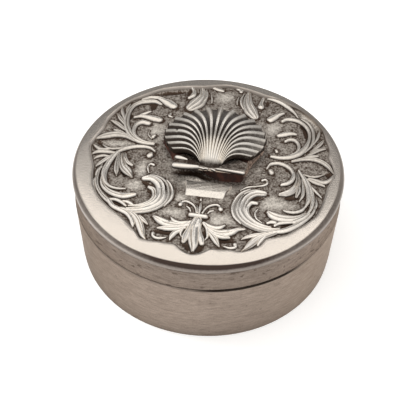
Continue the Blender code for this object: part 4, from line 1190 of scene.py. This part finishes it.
# How much darker it is: (how dark, from, over), in widths of the bevel from the front, and a dark edge up to a
# depth.
TABLET_DARKENING = ((0.20, 0.75, 0.5), (0.12, 1.3, 1.0))
TABLET_DARK_EDGE = 0.06
TABLET_DARK_UP_TO = 1.8
TABLET_STEPS = 160
TABLET_RINGS = 40
TABLET_METAL = (0.90, 0.84, 0.77)
TABLET_DARK = (0.26, 0.225, 0.20)


def even_outline(corners, steps):
    """A closed line through corners, in shares of the lid's radius, at even steps along its length."""
    line = np.array(corners + corners[:1], float) * RADIUS
    length = np.concatenate([[0], np.cumsum(np.hypot(*np.diff(line, axis=0).T))])
    even = np.linspace(0, length[-1], steps, endpoint=False)
    return np.stack([np.interp(even, length, column) for column in line.T], -1)


def shrunk(outline, middle, shares):
    """Rings that are these shares of an outline, shrunk towards a middle."""
    return middle + (outline - middle) * shares[..., None, None]


outline = even_outline(TABLET_CORNERS, TABLET_STEPS)
shares = np.linspace(1, 0.02, TABLET_RINGS)
plan = shrunk(outline, outline.mean(0), shares)
from_edge = 1 - shares[:, None]
from_front = (plan[..., 1] / RADIUS - TABLET_FRONT) / TABLET_BEVEL
rise = ramp(from_front, 0, 1) ** 0.8 * ramp(from_edge, 0, 0.04)
top = raised(plan, GROUND + TABLET_RISE * rise + TABLET_GRAIN * swell(plan, TABLET_GRAIN_SIZE))
points = np.concatenate([raised(plan[[-1, 0]], GROUND - LEAF_FOOT), top])
mask = sum(dark * ramp(from_front, start, run) for dark, start, run in TABLET_DARKENING)
mask = np.maximum(mask, ramp(from_edge, TABLET_DARK_EDGE, -0.05) * (from_front < TABLET_DARK_UP_TO))
mask = np.concatenate([np.ones((2, TABLET_STEPS)), mask])
tablet_metal = patinated("silver_tablet_grained", TABLET_METAL, TABLET_DARK, 0.6, 2600.0, 0.26, 0.6, 0.00010)
add_stacks("lid_tablet", [(points, mask)], tablet_metal, "lid_plate", 60)

# ---------------------------------------------------------------- the scallop shell
# A cast silver scallop stands up from the field behind its hinge: nineteen ribs fan from the hinge over a dome,
# bright on their crests and black with patina in the grooves. A painted highlight brightens them near the
# hinge, a painted grey shade lies towards the rim, and painted shadow darkens their edge and foot.
SHELL_RIBS = 19
HUB = (0.027, -0.142)
SHELL_MIDDLE = 0.018
SIDE_END = 1.035
COLUMNS_PER_RIB = 16
ROWS_ALONG = 96
# The ribs of the right half, from the middle one outward, in shares of the lid's radius: where each starts
# beside the hub (x, y), how far back it bows, and where it ends (x, y). The left half mirrors them.
RIBS = (
    (.000, .000, .330, .000, .598), (.013, .000, .327, .095, .580), (.026, .001, .320, .188, .536),
    (.038, .004, .310, .267, .482), (.048, .009, .300, .326, .413), (.056, .015, .280, .366, .325),
    (.062, .021, .250, .381, .237), (.067, .026, .190, .372, .152), (.070, .029, .125, .340, .088),
    (.071, .030, .050, .297, .028), (.071, .030, .015, .262, -.010),
)
RIB_RISE = 0.0010
RIB_SINK = 0.35
RIB_REACH = 0.0004
# The power that shapes the ribs' wave: at the hub, how much it grows, and over what part of their length.
POWER_AT_HUB = 0.50
POWER_GAIN = 0.80
POWER_RUN = 0.45
HINGE_LIFT = 0.0037
BACK_LIFT = 0.0006
SHELL_FRONT = -0.155
SHELL_BACK = 0.598
SHELL_EDGE = 0.0010
SHELL_DOME = 0.0048
DOME_LOWER = 0.45
DOME_POWER = 1.15
SHELL_THICKNESS = 0.0012
# A nick in one rib: its place and size, by side and along, and its depth.
NICK = (-0.665, 0.80)
NICK_SIZE = (0.022, 0.02)
NICK_DEPTH = 0.0006
# The wave's height at which a crest turns bright, how much lower that is at the hub and in the middle, a
# painted highlight, and over what height it turns. Towards the rim crest and groove lose this part of their
# difference and take this grey, a painted shade.
CREST_TURNS = 0.74
LOWER_AT_HUB = 0.56
LOWER_IN_MIDDLE = 0.10
CREST_SOFT = 0.24
RIM_EVENS = 0.50
RIM_SHADE_GREY = 0.42
# How much painted shade some parts of the fan get, by side; below nought, painted light.
FAN_SHADE = ((-0.65, 0.11), (0, 0.02), (0.30, 0.08), (0.80, -0.10))
SHELL_METAL = (0.95, 0.89, 0.81)
SHELL_DARK = (0.048, 0.036, 0.029)


def rim_plane(plan):
    """The height of the shell's rim: it falls in a straight line from the hinge to the back."""
    share = (plan[..., 1] / RADIUS - SHELL_FRONT) / (SHELL_BACK - SHELL_FRONT)
    return GROUND + HINGE_LIFT + (BACK_LIFT - HINGE_LIFT) * share


def shell_surface(side, along):
    """A place on the shell: side, from about -1 to 1, is across the fan, along is from 0 at the hub to 1 at
    the rim. Seen from above each rib is a bent curve of the second degree; the dome is the sine of a power of
    along, lower at the sides; the ribs are a cosine of the side, raised to a power that narrows their crests
    away from the hub, and they grow with along. Returns places, heights, the dome's height and the wave."""
    spot = np.abs(side) * (SHELL_RIBS - 1) / 2
    start_x, start_y, bow, end_x, end_y = (np.interp(spot, range(len(RIBS)), column) for column in zip(*RIBS))
    power = POWER_AT_HUB + POWER_GAIN * ramp(along, 0, POWER_RUN)
    wave = (0.5 + 0.5 * np.cos(math.pi * side * (SHELL_RIBS - 1))) ** power
    hub = np.array(HUB) * RADIUS
    start = hub + np.stack([start_x * np.sign(side), start_y], -1) * RADIUS
    end = np.stack([end_x * np.sign(side) + SHELL_MIDDLE, end_y], -1) * RADIUS
    out = end - hub
    end = end + out / np.hypot(out[..., :1], out[..., 1:]) * (RIB_REACH * wave)[..., None]
    middle = start + (0.2 + 0.1 * side[..., None] ** 6) * (end - start)
    middle[..., 1] += bow * RADIUS
    t = along[..., None]
    plan = (1 - t) ** 2 * start + 2 * t * (1 - t) * middle + t**2 * end
    arch = np.maximum(np.sin(math.pi * along ** (0.70 + 0.12 * side**2)), 0) ** DOME_POWER
    dome = SHELL_EDGE + SHELL_DOME * (1 - DOME_LOWER * side**2) * arch
    height = rim_plane(plan) + dome + RIB_RISE * (wave - RIB_SINK) * ramp(along, -0.08, 0.80)
    return plan, height, dome, wave


def shell_patina(side, along, wave):
    """Bright crests and grooves dark with patina. Near the hub and a little in the middle more of each rib is
    bright, a painted highlight; to the rim the two grow alike in a painted grey shade; each side gets its own
    painted shade; a dark line of painted shadow runs round the shell's own edge and over the ribs' foot."""
    near_hub = ramp(along, 0.5, -0.5)
    turns = CREST_TURNS - LOWER_AT_HUB * near_hub * (1 - 0.5 * side**2) - LOWER_IN_MIDDLE * (1 - side**2)
    to_rim = ramp(along + 0.20 * (1 - side**2), 0.70, 0.30)
    mask = ramp(turns - wave, 0, CREST_SOFT) * (1 - RIM_EVENS * to_rim) + RIM_SHADE_GREY * to_rim
    mask += np.interp(side, *zip(*FAN_SHADE))
    outline = ramp(np.abs(side), 1.008, 0.012) + ramp(along, 0.975, 0.012) * ramp(np.abs(side), 0.35, 0.2)
    return np.maximum(mask, np.maximum(ramp(along, 0.075, -0.05), np.minimum(outline, 1)))


side, along = np.meshgrid(
    np.linspace(-SIDE_END, SIDE_END, COLUMNS_PER_RIB * (SHELL_RIBS - 1) + 1), np.linspace(0, 1, ROWS_ALONG),
    indexing="ij",
)
plan, height, dome, wave = shell_surface(side, along)
from_nick = np.hypot((side - NICK[0]) / NICK_SIZE[0], (along - NICK[1]) / NICK_SIZE[1])
height -= NICK_DEPTH * np.exp(-(from_nick**2))
under = raised(plan, rim_plane(plan) + np.maximum(dome - SHELL_THICKNESS, 0))
points = np.concatenate([raised(plan, height).reshape(-1, 3), under.reshape(-1, 3)])
mask = np.concatenate([shell_patina(side, along, wave).ravel(), np.ones(side.size)])
columns, rows = side.shape
upper = grid_quads(columns, rows)
border = np.concatenate([
    np.arange(rows), np.arange(1, columns) * rows + rows - 1,
    (columns - 1) * rows + np.arange(rows - 2, -1, -1), np.arange(columns - 2, 0, -1) * rows,
])
following = np.roll(border, -1)
rim = np.stack([border, following, following + side.size, border + side.size], -1)
quads = np.concatenate([upper, upper[:, ::-1] + side.size, rim])
shell_metal = patinated("silver_shell_worn", SHELL_METAL, SHELL_DARK, 0.14, 1600.0, 0.18, 0.50)
add_piece(
    "shell_casting", points, quads, shell_metal, "lid", "shell", sharp=70, mask=("patina", mask)
)

# ---------------------------------------------------------------- the shell's ears
# Cast with the shell: the two flat ears of its hinge, thin plates that lean back with
# the rim, with a raised lip along the hinge.
RIGHT_EAR = ((.010, -.155), (.275, -.155), (.292, -.045), (.210, -.005), (.090, -.070), (.030, -.110))
LEFT_EAR = ((.030, -.155), (.010, -.110), (-.040, -.070), (-.165, -.005), (-.250, -.045), (-.238, -.155))
# How much darker than the right ear the left one is.
LEFT_DARKER = 0.3
EAR_THICKNESS = 0.0012
EAR_HOLLOW = 0.0002
EAR_GAP = 0.0001
EAR_LIP_DEPTH = 0.0012
EAR_LUMPS = 0.00009
EAR_LUMP_SIZE = 0.0016
# The ears' tops are painted dark, a painted shade of their upward faces, and lighter along the lip.
EAR_SHADE = 0.75
LIP_LIGHTER = 0.9
EAR_STEPS = 96
EAR_ROUND = 5
EAR_RINGS = 14
EAR_METAL = (0.80, 0.72, 0.64)
EAR_DARK = (0.085, 0.060, 0.048)


def ear(corners, darker):
    """A plate as rings that shrink to its middle, its edge rounded, its top hollowed a little and lipped."""
    outline = even_outline(corners, EAR_STEPS)
    turn = np.linspace(0, math.pi / 2, EAR_ROUND)
    shares = np.concatenate([1 - 0.06 * (1 - np.cos(turn)), np.linspace(0.9, 0.02, EAR_RINGS - EAR_ROUND)])
    plan = shrunk(outline, outline.mean(0), shares)
    round_off = np.concatenate([np.sin(turn), np.ones(EAR_RINGS - EAR_ROUND)])[:, None]
    lip = np.clip(1.2 - (plan[..., 1] - SHELL_FRONT * RADIUS) / EAR_LIP_DEPTH, 0, 1)
    lip = lip * lip * (3 - 2 * lip)
    lumps = EAR_LUMPS * swell(plan, EAR_LUMP_SIZE)
    surface = EAR_THICKNESS + (lumps - EAR_HOLLOW) * (1 - 0.5 * lip)
    top = raised(plan, rim_plane(plan) + surface * round_off + EAR_GAP)
    low = raised(plan[[-1, 0]], rim_plane(plan[[-1, 0]]))
    mask = np.clip(EAR_SHADE - LIP_LIGHTER * lip + darker * (1 - lip), 0, 1) * round_off**0.5
    return np.concatenate([low, top]), np.concatenate([np.ones((2, EAR_STEPS)), mask])


ear_metal = patinated("silver_ears_shaded_brown", EAR_METAL, EAR_DARK, 0.6, 1500.0, 0.28, 0.6, 0.00010)
ears = [ear(RIGHT_EAR, 0), ear(LEFT_EAR, LEFT_DARKER)]
add_stacks("shell_ears", ears, ear_metal, "shell", 45)

# ---------------------------------------------------------------- the hinge's bars
# Cast on the ears: two rolled bars along the hinge that thin towards the middle, two
# small loops between them, and a short ridge on the left ear. Rows as for the leaves.
HINGE_BARS = (
    (1.1, (), ((-.222, -.156, .024), (-.170, -.154, .026), (-.110, -.153, .022), (-.060, -.153, .013))),
    (.5, (), ((-.060, -.148, .010), (-.020, -.158, .006))),
    (.7, (), ((.265, -.163, .014), (.200, -.158, .011), (.130, -.153, .008), (.075, -.150, .005))),
    (.5, (), ((-.020, -.160, .007), (.000, -.154, .007), (.012, -.160, .005))),
    (.5, (), ((.038, -.158, .005), (.050, -.160, .007), (.064, -.168, .006))),
    (.8, (), ((-.218, -.060, .020), (-.190, -.064, .020), (-.150, -.080, .008))),
)
BAR_METAL = (0.88, 0.82, 0.75)
BAR_DARK = (0.05, 0.042, 0.038)


def ear_top(plan):
    """The height of the ears' flat top: the rim's leaning plane and a plate's thickness."""
    return rim_plane(plan) + EAR_THICKNESS - EAR_HOLLOW


bar_metal = patinated("silver_hinge_bars", BAR_METAL, BAR_DARK, 0.10, 1600.0, 0.24, 0.5)
add_leaves("shell_hinge_bars", HINGE_BARS, bar_metal, "shell", ear_top)

# ---------------------------------------------------------------- the bed of solder
# Solder and cement fill the wedge between the leaning shell and the field. They are
# lumpy and dull reddish brown, and a pinkish rim of them has run out on the right.
BED_TOP = (
    (-.205, -.050), (-.060, -.080), (.040, -.128), (.120, -.148), (.262, -.145), (.275, -.060), (.300, .060),
    (.365, .180), (.375, .290), (.330, .400), (.180, .500), (-.160, .500), (-.310, .400), (-.352, .290),
    (-.342, .180), (-.275, .060), (-.230, -.040),
)
BED_FOOT = (
    (-.215, -.052), (-.065, -.085), (.035, -.134), (.110, -.168), (.258, -.152), (.292, -.060), (.325, .050),
    (.392, .165), (.408, .285), (.372, .405), (.250, .520), (-.170, .560), (-.345, .430), (-.385, .300),
    (-.375, .180), (-.300, .060), (-.245, -.040),
)
BED_MIDDLE = np.array([0.0, 0.12]) * RADIUS
BED_STEPS = 360
BED_GAP = 0.0002
BED_BOTTOM = GROUND - 0.0002
BED_SINK = 0.0001
BED_BULGE = 0.00045
BED_LUMPS = 0.00012
BED_LUMP_SIZES = (0.0019, 0.0008)
BED_FALL_POWER = 2.2
# The pink rim: from which place on the right on, and from which place back on, over these runs.
PALE_RIGHT, PALE_RIGHT_RUN = 0.20, 0.08
PALE_BACK, PALE_BACK_RUN = -0.13, 0.06
RED = (0.060, 0.021, 0.013)
RED_DARK = (0.026, 0.011, 0.008)
PINK = (0.50, 0.37, 0.29)
PINK_DARK = (0.10, 0.066, 0.052)

upper = even_outline(BED_TOP, BED_STEPS)
foot = even_outline(BED_FOOT, BED_STEPS)
roof_plan = shrunk(upper, BED_MIDDLE, np.linspace(0.05, 1, 20))
roof = raised(roof_plan, rim_plane(roof_plan) - BED_GAP)
# The sides fall from the roof's edge with the 2.2nd power of what is left of the way out, and bulge on top.
fall = np.linspace(0, 1, 14)[1:, None]
plan = upper + (foot - upper) * fall[..., None]
height = BED_BOTTOM + (rim_plane(upper) - BED_GAP - BED_BOTTOM) * (1 - fall) ** BED_FALL_POWER
height += BED_BULGE * (1 - fall) ** 0.5
lumps = swell(plan, BED_LUMP_SIZES[0]) + swell(plan, BED_LUMP_SIZES[1], True)
height = np.maximum(height + BED_LUMPS * lumps * np.sin(math.pi * fall), BED_BOTTOM)
height[-1] = BED_BOTTOM - BED_SINK
base = raised(roof_plan[:1], BED_BOTTOM - BED_SINK)
pale = ramp(plan[..., 0] / RADIUS, PALE_RIGHT, PALE_RIGHT_RUN)
pale = pale * ramp(plan[..., 1] / RADIUS, PALE_BACK, PALE_BACK_RUN)
pale = np.concatenate([np.zeros((len(roof), BED_STEPS)), pale, np.zeros((1, BED_STEPS))])
solder, tree, shader = metal("solder_and_cement")
grit = noise(tree, object_place(tree), 1300.0, 4.0, 0.65)
clots = noise(tree, object_place(tree), 420.0, 3.0, 0.5)
red = blend_colours(tree, spread_values(tree, clots, 0.35, 0.65), RED, RED_DARK)
pink = blend_colours(tree, spread_values(tree, grit, 0.35, 0.65), PINK, PINK_DARK)
feed(tree, shader, {
    "Base Color": blend_colours(tree, mask_value(tree, "pale"), red, pink), "Metallic": 0.0,
    "Specular IOR Level": 0.3, "Roughness": 0.75, "Normal": bump(tree, grit, 0.00012),
})
points = np.concatenate([roof, raised(plan, height), base])
add_stacks("solder_bed_poured", [(points, pale)], solder, "solder_bed", 70, "pale")
